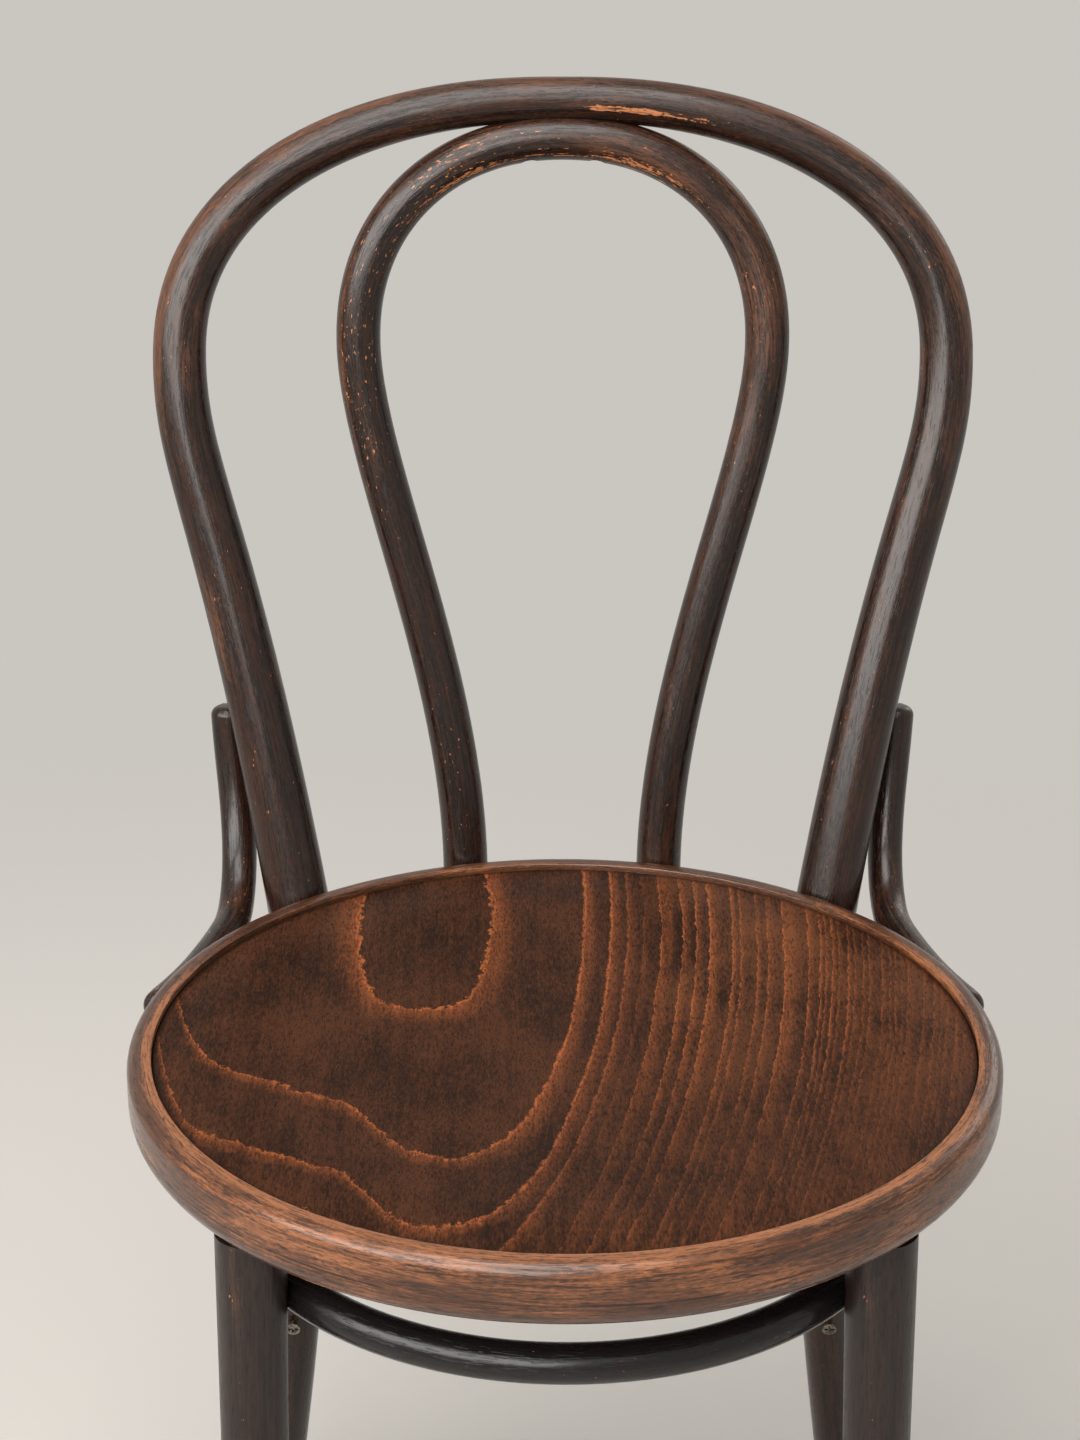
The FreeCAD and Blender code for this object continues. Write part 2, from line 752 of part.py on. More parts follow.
# Bolts of the back legs, radial through leg and ring, with washer and nut inside the ring
bolt_place = hoop.where(2, size("bolt_height"))
bolt_leg = hoop.point(bolt_place)
bolt_out = level(bolt_leg)
HEAD_SEAT = math.hypot(bolt_leg.x, bolt_leg.y) + hoop.radius(bolt_place) - size("bolt_spot_depth")
WASHER_SEAT = size("ring_inner_radius + washer_spot_depth")
GRIP = HEAD_SEAT - WASHER_SEAT


def bolt_spots(radius):
    """The bolt's axis from a distance to the chair's centre line, pointing inwards."""
    return [(bolt_out * radius + Vector(0, 0, size("bolt_height")), -bolt_out)]


bolt_reach = "bolt_head_height + washer_thickness + nut_thickness + bolt_end + %f" % GRIP
bolt = turned(
    "bolt",
    [
        ("0", "0"),
        ("bolt_head_diameter / 2", "bolt_head_height"),
        ("bolt_diameter / 2", "bolt_head_height"),
        ("bolt_diameter / 2", bolt_reach),
        ("0", bolt_reach),
    ],
    arcs={0: "(bolt_head_diameter ^ 2 / 4 + bolt_head_height ^ 2) / (2 * bolt_head_height)"},
)
bolt_socket = sketch_on(bolt, "bolt_socket", "XY_Plane")
outline(bolt_socket, hexagon("socket_width"))
sunk(bolt, "bolt_hexagon", bolt_socket, "socket_depth")

washer = turned(
    "washer",
    [
        ("bolt_diameter / 2 + fit_clearance", "0"),
        ("washer_diameter / 2", "0"),
        ("washer_diameter / 2", "washer_thickness"),
        ("bolt_diameter / 2 + fit_clearance", "washer_thickness"),
    ],
)

nut = new_body("nut")
nut_face = sketch_on(nut, "nut_face", "XY_Plane")
outline(nut_face, hexagon("nut_width"))
nut_bore = nut_face.addGeometry(Part.Circle(Vector(), Vector(0, 0, 1), size("bolt_diameter")), False)
nut_face.addConstraint(Sketcher.Constraint("Coincident", nut_bore, 3, -1, 1))
held = nut_face.addConstraint(Sketcher.Constraint("Radius", nut_bore, size("bolt_diameter")))
nut_face.setExpression("Constraints[%d]" % held, in_sheet("bolt_diameter / 2 + fit_clearance"))
nut_pad = nut.newObject("PartDesign::Pad", "nut_pad")
nut_pad.Profile = nut_face
bind(nut_pad, Length="nut_thickness")

bolt_hole = turned(
    "bolt_hole",
    [
        ("0", "0"),
        ("bolt_head_diameter / 2 + fit_clearance", "0"),
        ("bolt_head_diameter / 2 + fit_clearance", "hole_mouth"),
        ("bolt_diameter / 2 + fit_clearance", "hole_mouth"),
        ("bolt_diameter / 2 + fit_clearance", "hole_mouth + %f" % GRIP),
        ("washer_diameter / 2 + seat_clearance", "hole_mouth + %f" % GRIP),
        ("washer_diameter / 2 + seat_clearance", "2 * hole_mouth + %f" % GRIP),
        ("0", "2 * hole_mouth + %f" % GRIP),
    ],
)
bolt_holes = copies("bolt_holes", bolt_hole, both_sides(bolt_spots(HEAD_SEAT + size("hole_mouth"))))

# Clear pads on the fronts of the back legs
pad_place = hoop.where(2, size("pad_height"))
PAD_FACE = hoop.radius(pad_place) + size("fit_clearance + pad_thickness")


def pad_frame(mirror):
    """Centre on the leg's axis, direction up the leg and direction through it to the back."""
    centre, up = hoop.point(pad_place), hoop.direction(pad_place)
    if mirror:
        centre, up = mirrored(centre), mirrored(up)
    return centre, up, (Vector(0, 1, 0) - up * up.y).normalize()


pad_spots = []
centre, up, back = pad_frame(False)
for share in (-1, 1):
    along_leg = share * size("pad_length / 2 - pad_screw_inset")
    pad_spots.append((centre + up * along_leg - back * PAD_FACE, back))
pad_holes = copies("pad_holes", pad_hole, both_sides(backed_off(pad_spots)))

# Feet: a nailed glide under each leg
back_foot = hoop.point(hoop.where(2, size("glide_thickness")))
front_foot = front_leg_at(size("glide_thickness"))
FEET = {
    "front_right": Vector(front_foot.x, front_foot.y, 0),
    "front_left": Vector(-front_foot.x, front_foot.y, 0),
    "back_right": Vector(back_foot.x, back_foot.y, 0),
    "back_left": Vector(-back_foot.x, back_foot.y, 0),
}
foot_places = [placed(foot) for foot in FEET.values()]
nail = turned(
    "nail",
    [
        ("0", "0"),
        ("nail_head_diameter / 2", "0"),
        ("nail_head_diameter / 2", "nail_head_thickness"),
        ("nail_diameter / 2", "nail_head_thickness"),
        ("nail_diameter / 2", "nail_length - nail_diameter"),
        ("0", "nail_length"),
    ],
)
nail_hole = turned(
    "nail_hole",
    [
        ("0", "0"),
        ("nail_diameter / 2 + fit_clearance", "0"),
        ("nail_diameter / 2 + fit_clearance", "nail_recess + nail_length + seat_clearance"),
        ("0", "nail_recess + nail_length + seat_clearance"),
    ],
)
nail_holes = copies("nail_holes", nail_hole, foot_places)

# Where holes and notches come in the bent rods
HOLE_HALF = size("screw_head_diameter / 2 + hole_wall")
below_ring = hoop.where(2, size("ring_bottom - hole_wall"))
above_ring = hoop.where(2, size("seat_height + hole_wall"))
hoop.cut_between(below_ring, above_ring)
hoop.cut_between(hoop.knots[0], hoop.where(2, size("glide_thickness + foot_rise + hole_wall")))
hoop.cut_at(hoop.where(2, size("leg_ring_height")), size("leg_ring_diameter / 2 + hole_wall"))
hoop.cut_at(hoop.where(2, brace_screw_height), HOLE_HALF)
hoop.cut_at(hoop.where(0, size("loop_screw_x")), HOLE_HALF)
for spot, _ in pad_spots:
    hoop.cut_at(hoop.where(2, spot.z), HOLE_HALF)
loop.cut_between(loop.knots[0], loop.where(2, size("seat_height + hole_wall")))
loop.cut_at(loop.where(0, size("loop_screw_x")), HOLE_HALF)
for rod in (brace, brace_left):
    rod.cut_at(rod.where(2, brace_screw_height), HOLE_HALF)
    for back in BRACE_END_SCREWS:
        rod.cut_at(rod.where(1, size("brace_end_y + " + back)), HOLE_HALF)

# Seats that one piece makes in another
ring_seat = turned(
    "ring_seat",
    [
        ("0", "0"),
        ("ring_radius + fit_clearance", "0"),
        ("ring_radius + fit_clearance", "ring_thickness + 2 * fit_clearance"),
        ("0", "ring_thickness + 2 * fit_clearance"),
    ],
)
SEAT_RADIUS, SEAT_TOP = "ring_radius + fit_clearance", "ring_thickness + 2 * fit_clearance"
round_over(ring_seat, "ring_seat_top", "ring_top_rounding", circles_at(ring_seat, SEAT_RADIUS, SEAT_TOP))
round_over(ring_seat, "ring_seat_low", "ring_lower_rounding", circles_at(ring_seat, SEAT_RADIUS, "0"))
ring_seat.Placement = placed(Vector(0, 0, size("ring_bottom - fit_clearance")))

ring_side = doc.addObject("Part::Cylinder", "ring_side")
bind(ring_side, Radius=SEAT_RADIUS, Height="2 * ring_thickness")
ring_side.Placement = placed(Vector(0, 0, size("ring_bottom - ring_thickness / 2")))

hoop_seat = rod_object("hoop_seat", hoop.solid(FRONT, extra=size("fit_clearance")))

leg_ring_seats = []
for name, centre in (("leg_ring_front_seat", front_centre), ("leg_ring_back_seat", back_centre)):
    seat = doc.addObject("Part::Torus", name)
    bind(seat, Radius1="leg_ring_radius", Radius2="leg_ring_diameter / 2 + fit_clearance")
    seat.Placement = placed(centre)
    leg_ring_seats.append(seat)
leg_ring_front_seat, leg_ring_back_seat = leg_ring_seats

below_feet = doc.addObject("Part::Box", "below_feet")
bind(below_feet, Length="4 * ring_radius", Width="4 * ring_radius", Height="ring_radius")
below_feet.Placement = placed(
    Vector(-size("2 * ring_radius"), -size("2 * ring_radius"), size("glide_thickness - ring_radius"))
)

# Seat ring
seat_ring_blank = turned(
    "seat_ring_blank",
    [
        ("ring_inner_radius", "ring_inner_chamfer"),
        ("ring_inner_radius + ring_inner_chamfer", "0"),
        ("ring_radius", "0"),
        ("ring_radius", "ring_thickness"),
        ("rebate_radius", "ring_thickness"),
        ("rebate_radius", "rebate_floor"),
        ("ring_inner_radius", "rebate_floor"),
    ],
)
for edge, rounding, height in (
    ("ring_top_edge", "ring_top_rounding", "ring_thickness"),
    ("ring_lower_edge", "ring_lower_rounding", "0"),
):
    round_over(seat_ring_blank, edge, rounding, circles_at(seat_ring_blank, "ring_radius", height))
seat_ring_blank.Placement = placed(Vector(0, 0, size("ring_bottom")))

tenon_socket = turned(
    "tenon_socket",
    [
        ("0", "0"),
        ("tenon_diameter / 2 + fit_clearance", "0"),
        ("tenon_diameter / 2 + fit_clearance", "hole_mouth + tenon_length + seat_clearance"),
        ("0", "hole_mouth + tenon_length + seat_clearance"),
    ],
)
tenon_sockets = copies(
    "tenon_sockets", tenon_socket, both_sides(backed_off([(front_leg_top, front_leg_up)]))
)
seat_ring = cut_away(
    "seat_ring",
    seat_ring_blank,
    [tenon_sockets, bolt_holes, loop_foot_holes, brace_end_holes, tenon_holes],
)

# Seat panel, with a shallow dish whose depth falls off with the square of the radius
dish = []
for step in range(DISH_STEPS + 1):
    share = step / DISH_STEPS
    dish.append(("panel_dish_radius * %f" % share, "panel_dish * %f" % share**2))
dish.append(("panel_radius", "panel_dish"))
underside = dish
face = [(across, up + " + panel_thickness") for across, up in dish]
seat_panel = turned("seat_panel", underside + face[::-1])
seat_panel.Placement = placed(
    Vector(0, 0, size("seat_height - panel_recess - panel_thickness - panel_dish"))
)

# Outer hoop with the back legs
back_hoop = cut_away(
    "back_hoop",
    rod_object("hoop_blank", hoop.solid(FRONT)),
    [
        below_feet,
        ring_seat,
        leg_ring_back_seat,
        bolt_holes,
        loop_top_holes,
        brace_top_holes,
        leg_ring_holes,
        pad_holes,
        nail_holes,
    ],
)

# Inner loop
inner_loop = cut_away(
    "inner_loop",
    rod_object("loop_blank", loop.solid(FRONT, rounding=size("loop_end_rounding"))),
    [ring_seat, hoop_seat, loop_foot_holes, loop_top_holes],
)

# Hip braces
hip_braces = []
for side, rod, inwards in (("right", brace, -SIDEWAYS), ("left", brace_left, SIDEWAYS)):
    blank = rod_object("brace_blank_" + side, rod.solid(inwards, size("brace_end_rounding")))
    label = "hip_brace_" + side
    hip_braces.append(cut_away(label, blank, [ring_side, brace_top_holes, brace_end_holes]))

# Front legs
SHOULDER_HEIGHT = size("ring_bottom / cos(front_leg_splay_angle * 1 deg) - seat_clearance")
front_legs = []
for side, sign in (("right", 1), ("left", -1)):
    leg = turned(
        "front_leg_blank_" + side,
        [
            ("0", "0"),
            ("front_foot_diameter / 2", "0"),
            ("front_leg_diameter / 2", "%f" % SHOULDER_HEIGHT),
            ("tenon_diameter / 2", "%f" % SHOULDER_HEIGHT),
            ("tenon_diameter / 2", "tenon_length + %f" % SHOULDER_HEIGHT),
            ("0", "tenon_length + %f" % SHOULDER_HEIGHT),
        ],
    )
    foot = front_leg_at(0)
    leg.Placement = placed(
        Vector(sign * foot.x, foot.y, 0), Vector(sign * front_leg_up.x, front_leg_up.y, front_leg_up.z)
    )
    tools = [below_feet, leg_ring_front_seat, leg_ring_holes, tenon_holes, nail_holes]
    front_legs.append(cut_away("front_leg_" + side, leg, tools))

# Leg ring: a round section carried round two half circles and the straight runs between,
# with a short section at each screw
leg_ring_sections = []
for centre, leg, start in ((front_centre, beside_front, math.pi), (back_centre, beside_back, 0.0)):
    screw_turn = math.atan2(leg.y - centre.y, leg.x - centre.x) % math.tau
    screw_turns = [screw_turn, (3 * math.pi - screw_turn) % math.tau]
    turns = [start + k * math.pi / LEG_RING_STEPS for k in range(LEG_RING_STEPS + 1)]
    for screw_turn in screw_turns:
        turns = [t for t in turns if abs(t - screw_turn) > 2 * LEG_RING_SCREW_TURN]
        turns += [screw_turn - LEG_RING_SCREW_TURN, screw_turn + LEG_RING_SCREW_TURN]
    for turn in sorted(turns):
        outwards = Vector(math.cos(turn), math.sin(turn), 0)
        section = Part.Wire(Part.makeCircle(size("leg_ring_diameter / 2")))
        spot = centre + outwards * size("leg_ring_radius")
        section.Placement = Placement(spot, Rotation(outwards, UP, UP.cross(outwards), "ZXY"))
        leg_ring_sections.append(section)
leg_ring_blank = rod_object("leg_ring_blank", Part.makeLoft(leg_ring_sections, True, True, True))
leg_ring = cut_away("leg_ring", leg_ring_blank, [leg_ring_holes])

# Clear pads: a tongue cut from a tube that lies on the leg's front
leg_pads = []
for side, mirror in (("right", False), ("left", True)):
    centre, up, back = pad_frame(mirror)
    start = centre - up * size("pad_length / 2")
    turn = Rotation(up.cross(-back), -back, up, "ZYX")
    tube = doc.addObject("Part::Cylinder", "pad_tube_" + side)
    bind(tube, Radius="%f" % PAD_FACE, Height="pad_length")
    tube.Placement = Placement(at(start), turn)
    tongue = new_body("pad_tongue_" + side)
    tongue_outline = sketch_on(tongue, "pad_outline_" + side, "XZ_Plane")
    tip, wide = "pad_tip_width / 2", "pad_width / 2"
    corners = [
        (tip, "0"),
        (wide, "pad_length / 2"),
        (tip, "pad_length"),
        ("-1 * " + tip, "pad_length"),
        ("-1 * " + wide, "pad_length / 2"),
        ("-1 * " + tip, "0"),
    ]
    outline(tongue_outline, corners)
    tongue_pad = tongue.newObject("PartDesign::Pad", "pad_body_" + side)
    tongue_pad.Profile = tongue_outline
    bind(tongue_pad, Length="hoop_seat_diameter")
    doc.recompute()
    tips = []
    for number, edge in enumerate(tongue.Shape.Edges, start=1):
        start_point, end_point = (vertex.Point for vertex in edge.Vertexes)
        run = end_point - start_point
        if abs(run.x) + abs(run.z) < 1e-4 and abs(abs(start_point.x) - size(tip)) < 1e-4:
            tips.append("Edge%d" % number)
    round_over(tongue, "pad_tips_" + side, "pad_tip_rounding", tips)
    tongue.Placement = Placement(at(start), turn)
    pad = doc.addObject("Part::Common", "pad_blank_" + side)
    pad.Base = tube
    pad.Tool = tongue
    leg_pads.append(cut_away("leg_pad_" + side, pad, [hoop_seat, pad_holes]))

# Foot glides
foot_glides = []
for name, foot in FEET.items():
    glide = turned(
        "foot_glide_" + name,
        [
            ("nail_head_diameter / 2 + fit_clearance", "0"),
            ("glide_diameter / 2 - glide_chamfer", "0"),
            ("glide_diameter / 2", "glide_chamfer"),
            ("glide_diameter / 2", "glide_thickness"),
            ("nail_diameter / 2 + fit_clearance", "glide_thickness"),
            ("nail_diameter / 2 + fit_clearance", "nail_recess + nail_head_thickness"),
            ("nail_head_diameter / 2 + fit_clearance", "nail_recess + nail_head_thickness"),
        ],
    )
    glide.Placement = placed(foot)
    foot_glides.append(glide)

# Fasteners
recessed = [placed(foot + Vector(0, 0, size("nail_recess"))) for foot in FEET.values()]
fasteners = [
    copies("hoop_bolts", bolt, both_sides(bolt_spots(HEAD_SEAT + size("bolt_head_height")))),
    copies("hoop_bolt_washers", washer, both_sides(bolt_spots(WASHER_SEAT))),
    copies("hoop_bolt_nuts", nut, both_sides(bolt_spots(WASHER_SEAT - size("washer_thickness")))),
    copies("loop_foot_screws", long_screw, both_sides(loop_foot_spots)),
    copies("loop_top_screws", short_screw, both_sides(loop_top_spots)),
    copies("brace_top_screws", short_screw, both_sides(brace_top_spots)),
    copies("brace_end_screws", short_screw, both_sides(brace_end_spots)),
    copies("leg_ring_screws", short_screw, both_sides(leg_ring_spots)),
    copies("tenon_lock_screws", short_screw, both_sides(tenon_spots)),
    copies("leg_pad_screws", pad_screw, both_sides(pad_spots)),
    copies("glide_nails", nail, recessed),
]

nodes = [back_hoop, inner_loop, seat_ring, seat_panel, leg_ring]
nodes += front_legs + hip_braces + leg_pads + foot_glides + fasteners

# Check of the whole document, then one file for each piece
doc.recompute()
for thing in doc.Objects:
    if "Invalid" in thing.State or "Error" in thing.State:
        raise RuntimeError("%s did not recompute: %s" % (thing.Label, thing.State))
os.makedirs("parts", exist_ok=True)
for node in nodes:
    if node.Shape.isNull() or not node.Shape.isValid() or not node.Shape.Solids:
        raise RuntimeError("%s has no valid solid" % node.Label)
for node in nodes:
    node.Shape.exportStep("parts/%s.step" % node.Label)
    print("%s: %d solid(s), %.1f cm3" % (node.Label, len(node.Shape.Solids), node.Shape.Volume / 1000))
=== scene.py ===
import bmesh
import bpy
import math
from mathutils import Matrix, Vector


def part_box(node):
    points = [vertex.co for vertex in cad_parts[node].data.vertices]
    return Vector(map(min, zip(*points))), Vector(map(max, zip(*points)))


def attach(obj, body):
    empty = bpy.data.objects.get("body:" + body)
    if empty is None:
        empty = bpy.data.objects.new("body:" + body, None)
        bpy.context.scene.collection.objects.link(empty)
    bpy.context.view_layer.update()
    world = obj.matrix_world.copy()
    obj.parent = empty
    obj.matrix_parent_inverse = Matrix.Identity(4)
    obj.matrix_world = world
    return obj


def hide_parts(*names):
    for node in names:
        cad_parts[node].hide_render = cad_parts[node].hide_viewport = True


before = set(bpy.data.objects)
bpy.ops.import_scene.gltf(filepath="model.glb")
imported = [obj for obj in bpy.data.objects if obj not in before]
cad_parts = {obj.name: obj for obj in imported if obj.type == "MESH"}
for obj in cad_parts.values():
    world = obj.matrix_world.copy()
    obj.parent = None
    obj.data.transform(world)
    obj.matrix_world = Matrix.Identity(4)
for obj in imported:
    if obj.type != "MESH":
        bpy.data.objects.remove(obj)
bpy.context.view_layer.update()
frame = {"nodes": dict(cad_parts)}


# The room: a pale floor that runs into an even pale backdrop. Soft light comes from above
# and from a wide lamp in front on the left, and a weak lamp lights the back.
FLOOR_SIZE = 16.0
FLOOR_BEHIND = 4.0
FLOOR_COLOUR = (0.59, 0.565, 0.53, 1.0)
FLOOR_LIGHTER = (0.6077, 0.58195, 0.5459, 1.0)
FLOOR_NEAR = 0.7
FLOOR_FAR = 1.8
FLOOR_CLOUDS = (1.5, 1.5, 1.5)
ROOM_LIGHT = (1.0, 0.985, 0.97, 1.0)
ROOM_LEVEL = 0.14


def colour(red, green, blue):
    """A colour as it shows on screen, 0 to 255, in Blender's linear values."""
    shares = [part / 255 for part in (red, green, blue)]
    linear = [s / 12.92 if s < 0.04045 else ((s + 0.055) / 1.055) ** 2.4 for s in shares]
    return (*linear, 1.0)


class Value:
    """A number that changes over a surface, so that shader maths reads as an expression."""

    def __init__(self, nodes, socket):
        self.nodes = nodes
        self.socket = socket

    def maths(self, operation, first, second, third=0.0):
        values = {0: first, 1: second, 2: third}
        return self.nodes.node("ShaderNodeMath", {"operation": operation}, values)

    def __add__(self, other):
        return self.maths("ADD", self, other)

    def __radd__(self, other):
        return self.maths("ADD", other, self)

    def __sub__(self, other):
        return self.maths("SUBTRACT", self, other)

    def __rsub__(self, other):
        return self.maths("SUBTRACT", other, self)

    def __mul__(self, other):
        return self.maths("MULTIPLY", self, other)

    def __truediv__(self, other):
        return self.maths("DIVIDE", self, other)

    def __abs__(self):
        return self.maths("ABSOLUTE", self, 0.0)

    def whole(self):
        """The whole number below."""
        return self.maths("FLOOR", self, 0.0)

    def at_least(self, other):
        return self.maths("MAXIMUM", self, other)

    def at_most(self, other):
        return self.maths("MINIMUM", self, other)

    def joined(self, other, softness):
        """The greater of two, with the corner between them rounded."""
        return self.maths("SMOOTH_MAX", self, other, softness)


class Nodes:
    """The nodes of a material or of the world."""

    def __init__(self, tree):
        self.tree = tree

    def node(self, kind, settings=None, values=None, output=0):
        """A node with its settings made first and its sockets filled or linked."""
        node = self.tree.nodes.new(kind)
        for name, setting in (settings or {}).items():
            setattr(node, name, setting)
        for name, value in (values or {}).items():
            self.fill(node.inputs[name], value)
        return Value(self, node.outputs[output])

    def fill(self, socket, value):
        if isinstance(value, Value):
            self.tree.links.new(value.socket, socket)
        else:
            socket.default_value = value

    def background_seen(self):
        """1 for the rays that show the background: straight, in gloss and through plastic."""
        camera, glossy, through = [
            self.node("ShaderNodeLightPath", output="Is %s Ray" % kind)
            for kind in ("Camera", "Glossy", "Transmission")
        ]
        return camera.at_least(glossy).at_least(through)

    def place(self, centre=(0, 0, 0)):
        """Place on the object, from a centre."""
        spot = self.node("ShaderNodeTexCoord", output="Object")
        values = {"Vector": spot, "Location": tuple(-c for c in centre)}
        return self.node("ShaderNodeMapping", {"vector_type": "POINT"}, values)

    def part(self, vector, axis):
        return self.node("ShaderNodeSeparateXYZ", values={"Vector": vector}, output=axis)

    def scaled(self, vector, factors):
        settings = {"operation": "MULTIPLY"}
        return self.node("ShaderNodeVectorMath", settings, {0: vector, 1: factors})

    def reach(self, vector):
        """Distance from the upright axis."""
        level = {0: self.scaled(vector, (1, 1, 0))}
        return self.node("ShaderNodeVectorMath", {"operation": "LENGTH"}, level, "Value")

    def noise(self, vector, factors, detail=2.0, roughness=0.5):
        values = {
            "Vector": self.scaled(vector, factors),
            "Scale": 1.0,
            "Detail": detail,
            "Roughness": roughness,
        }
        return self.node("ShaderNodeTexNoise", values=values)

    def ramp(self, value, start, stop, low=0.0, high=1.0):
        """Goes smoothly from low to high as the value goes from start to stop."""
        values = {"Value": value, 1: start, 2: stop, 3: low, 4: high}
        return self.node("ShaderNodeMapRange", {"interpolation_type": "SMOOTHSTEP"}, values)

    def blend(self, factor, low, high):
        """Goes from one colour to the other as the factor goes from 0 to 1."""
        sockets = {0: factor, 6: low, 7: high}
        return self.node("ShaderNodeMix", {"data_type": "RGBA"}, sockets, 2)


class Finish(Nodes):
    """A material for the surfaces of one material slot."""

    def __init__(self, name, slot=None):
        self.material = bpy.data.materials.new(name)
        self.material.use_nodes = True
        self.shader = self.material.node_tree.nodes["Principled BSDF"]
        self.slot = slot
        super().__init__(self.material.node_tree)

    def set(self, **values):
        """Fills the shader's own sockets, named with _ for each space."""
        for name, value in values.items():
            self.fill(self.shader.inputs[name.replace("_", " ")], value)

    def grain(self):
        """Place in the straight rod before it was bent: along it, then across it."""
        return self.node("ShaderNodeAttribute", {"attribute_name": "grain"}, output="Vector")

    def bumps(self, height, distance):
        return self.node("ShaderNodeBump", values={"Height": height, "Distance": distance})


def room():
    """The floor, and the backdrop that is seen all round and lights the chair a little."""
    floor_mesh = bmesh.new()
    bmesh.ops.create_grid(floor_mesh, x_segments=1, y_segments=1, size=FLOOR_SIZE / 2)
    bmesh.ops.translate(floor_mesh, vec=(0, FLOOR_BEHIND, 0), verts=floor_mesh.verts)
    mesh = bpy.data.meshes.new("floor")
    floor_mesh.to_mesh(mesh)
    floor_mesh.free()
    floor = bpy.data.objects.new("floor", mesh)
    bpy.context.scene.collection.objects.link(floor)
    paint = Finish("floor")
    place = paint.place()
    cloud = paint.noise(place, FLOOR_CLOUDS)
    paint.set(Base_Color=paint.blend(cloud, FLOOR_COLOUR, FLOOR_LIGHTER), Roughness=0.9)
    away = paint.node("ShaderNodeVectorMath", {"operation": "LENGTH"}, {0: place}, "Value")
    values = {
        0: paint.background_seen() * paint.ramp(away, FLOOR_NEAR, FLOOR_FAR),
        1: Value(paint, paint.shader.outputs[0]),
        2: paint.node("ShaderNodeEmission", values={"Color": FLOOR_COLOUR, "Strength": 1.0}),
    }
    surface = paint.node("ShaderNodeMixShader", values=values)
    paint.fill(paint.tree.nodes["Material Output"].inputs["Surface"], surface)
    floor.data.materials.append(paint.material)

    world = bpy.data.worlds.new("room")
    bpy.context.scene.world = world
    world.use_nodes = True
    sky = Nodes(world.node_tree)
    light = {"Color": ROOM_LIGHT, "Strength": ROOM_LEVEL}
    values = {
        0: sky.background_seen(),
        1: sky.node("ShaderNodeBackground", values=light),
        2: sky.node("ShaderNodeBackground", values={"Color": FLOOR_COLOUR, "Strength": 1.0}),
    }
    surface = sky.node("ShaderNodeMixShader", values=values)
    sky.fill(sky.tree.nodes["World Output"].inputs["Surface"], surface)


def lamp(kind, name, place, aim, energy, tint, **settings):
    """A lamp at a place, turned to aim at a point."""
    light = bpy.data.lights.new(name, kind)
    light.energy = energy
    light.color = tint
    for setting, value in settings.items():
        setattr(light, setting, value)
    holder = bpy.data.objects.new(name, light)
    holder.location = place
    holder.rotation_euler = (Vector(aim) - Vector(place)).to_track_quat("-Z", "Y").to_euler()
    bpy.context.scene.collection.objects.link(holder)


bpy.context.scene.view_settings.view_transform = "Standard"
room()
MIDDLE = (0, 0, 0.5)
WHITE = (1.0, 1.0, 1.0)
DAYLIGHT = (1.0, 0.975, 0.945)
WARM = (1.0, 0.96, 0.90)
WIDE = {"shape": "RECTANGLE", "size": 6.4, "size_y": 2.6}
lamp("SUN", "all_round", (-1.0, -1.5, 3.0), MIDDLE, 0.8, WHITE, angle=math.radians(80))
lamp("AREA", "above", (-0.3, -0.9, 3.0), MIDDLE, 49, DAYLIGHT, shape="SQUARE", size=1.8)
lamp("AREA", "front_left", (-2.6, -3.3, 2.6), MIDDLE, 310, DAYLIGHT, **WIDE)
lamp("AREA", "back_right", (1.8, 2.4, 1.8), MIDDLE, 12, WARM, shape="SQUARE", size=1.6)


# Camera: eye height, in front of the chair, looking down on the seat. The focal length in
# pixels of the full picture gives the lens on a 36 mm film's long side.
SEAT_LOW, SEAT_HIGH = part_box("seat_ring")
seat_middle = [(low + high) / 2 for low, high in zip(SEAT_LOW, SEAT_HIGH)]
SEAT = Vector((*seat_middle[:2], SEAT_HIGH[2]))
EYE_BEFORE_SEAT = 1.400
EYE_TO_LEFT = 0.0116
EYE_HEIGHT = 1.195
EYE_TILT = 22.31
FOCUS_PIXELS = 3356.0
PICTURE_HEIGHT = 1440.0
FILM_HEIGHT = 36.0

lens = bpy.data.cameras.new("camera")
lens.sensor_fit = "VERTICAL"
lens.sensor_height = FILM_HEIGHT
lens.lens = FILM_HEIGHT * FOCUS_PIXELS / PICTURE_HEIGHT
camera = bpy.data.objects.new("camera", lens)
camera.location = (SEAT.x - EYE_TO_LEFT, SEAT.y - EYE_BEFORE_SEAT, EYE_HEIGHT)
camera.rotation_euler = (math.radians(90 - EYE_TILT), 0, 0)
bpy.context.scene.collection.objects.link(camera)
bpy.context.scene.camera = camera


# Outer hoop and back legs: one beech rod, turned thicker at the seat and steam-bent, stained
# dark and lacquered satin. The crown is rubbed lighter, with flecks of bare wood.
BASE_HEIGHT = 0.440
HOOP_BASE_X = 0.1355
HOOP_BASE_RADIUS = 0.2181
HOOP_LEAN = math.radians(14.0)
HOOP_HALF_WIDTH = 0.194
HOOP_SHOULDER = 0.288
HOOP_SHOULDER_PULL = 0.060
HOOP_BASE_PULL = 0.215
HOOP_BASE_SLOPE = 0.17
HOOP_FULLNESS = 2.2
HOOP_TOP_RADIUS = 0.011
HOOP_SEAT_RADIUS = 0.0162
WAIST_HEIGHT = 0.400
WAIST_X = 0.1335
WAIST_ADVANCE = 0.006
FOOT_X = 0.169
FOOT_Y = 0.247
FOOT_RADIUS = 0.0125
LEG_FLARE = 1.5
GLIDE_HEIGHT = 0.005
WAIST_PULL = 0.013
BOW_STEPS = 44
LEG_STEPS = 40
WAIST_STEPS = 8
END_STEPS = 8
ROD_SIDES = 40


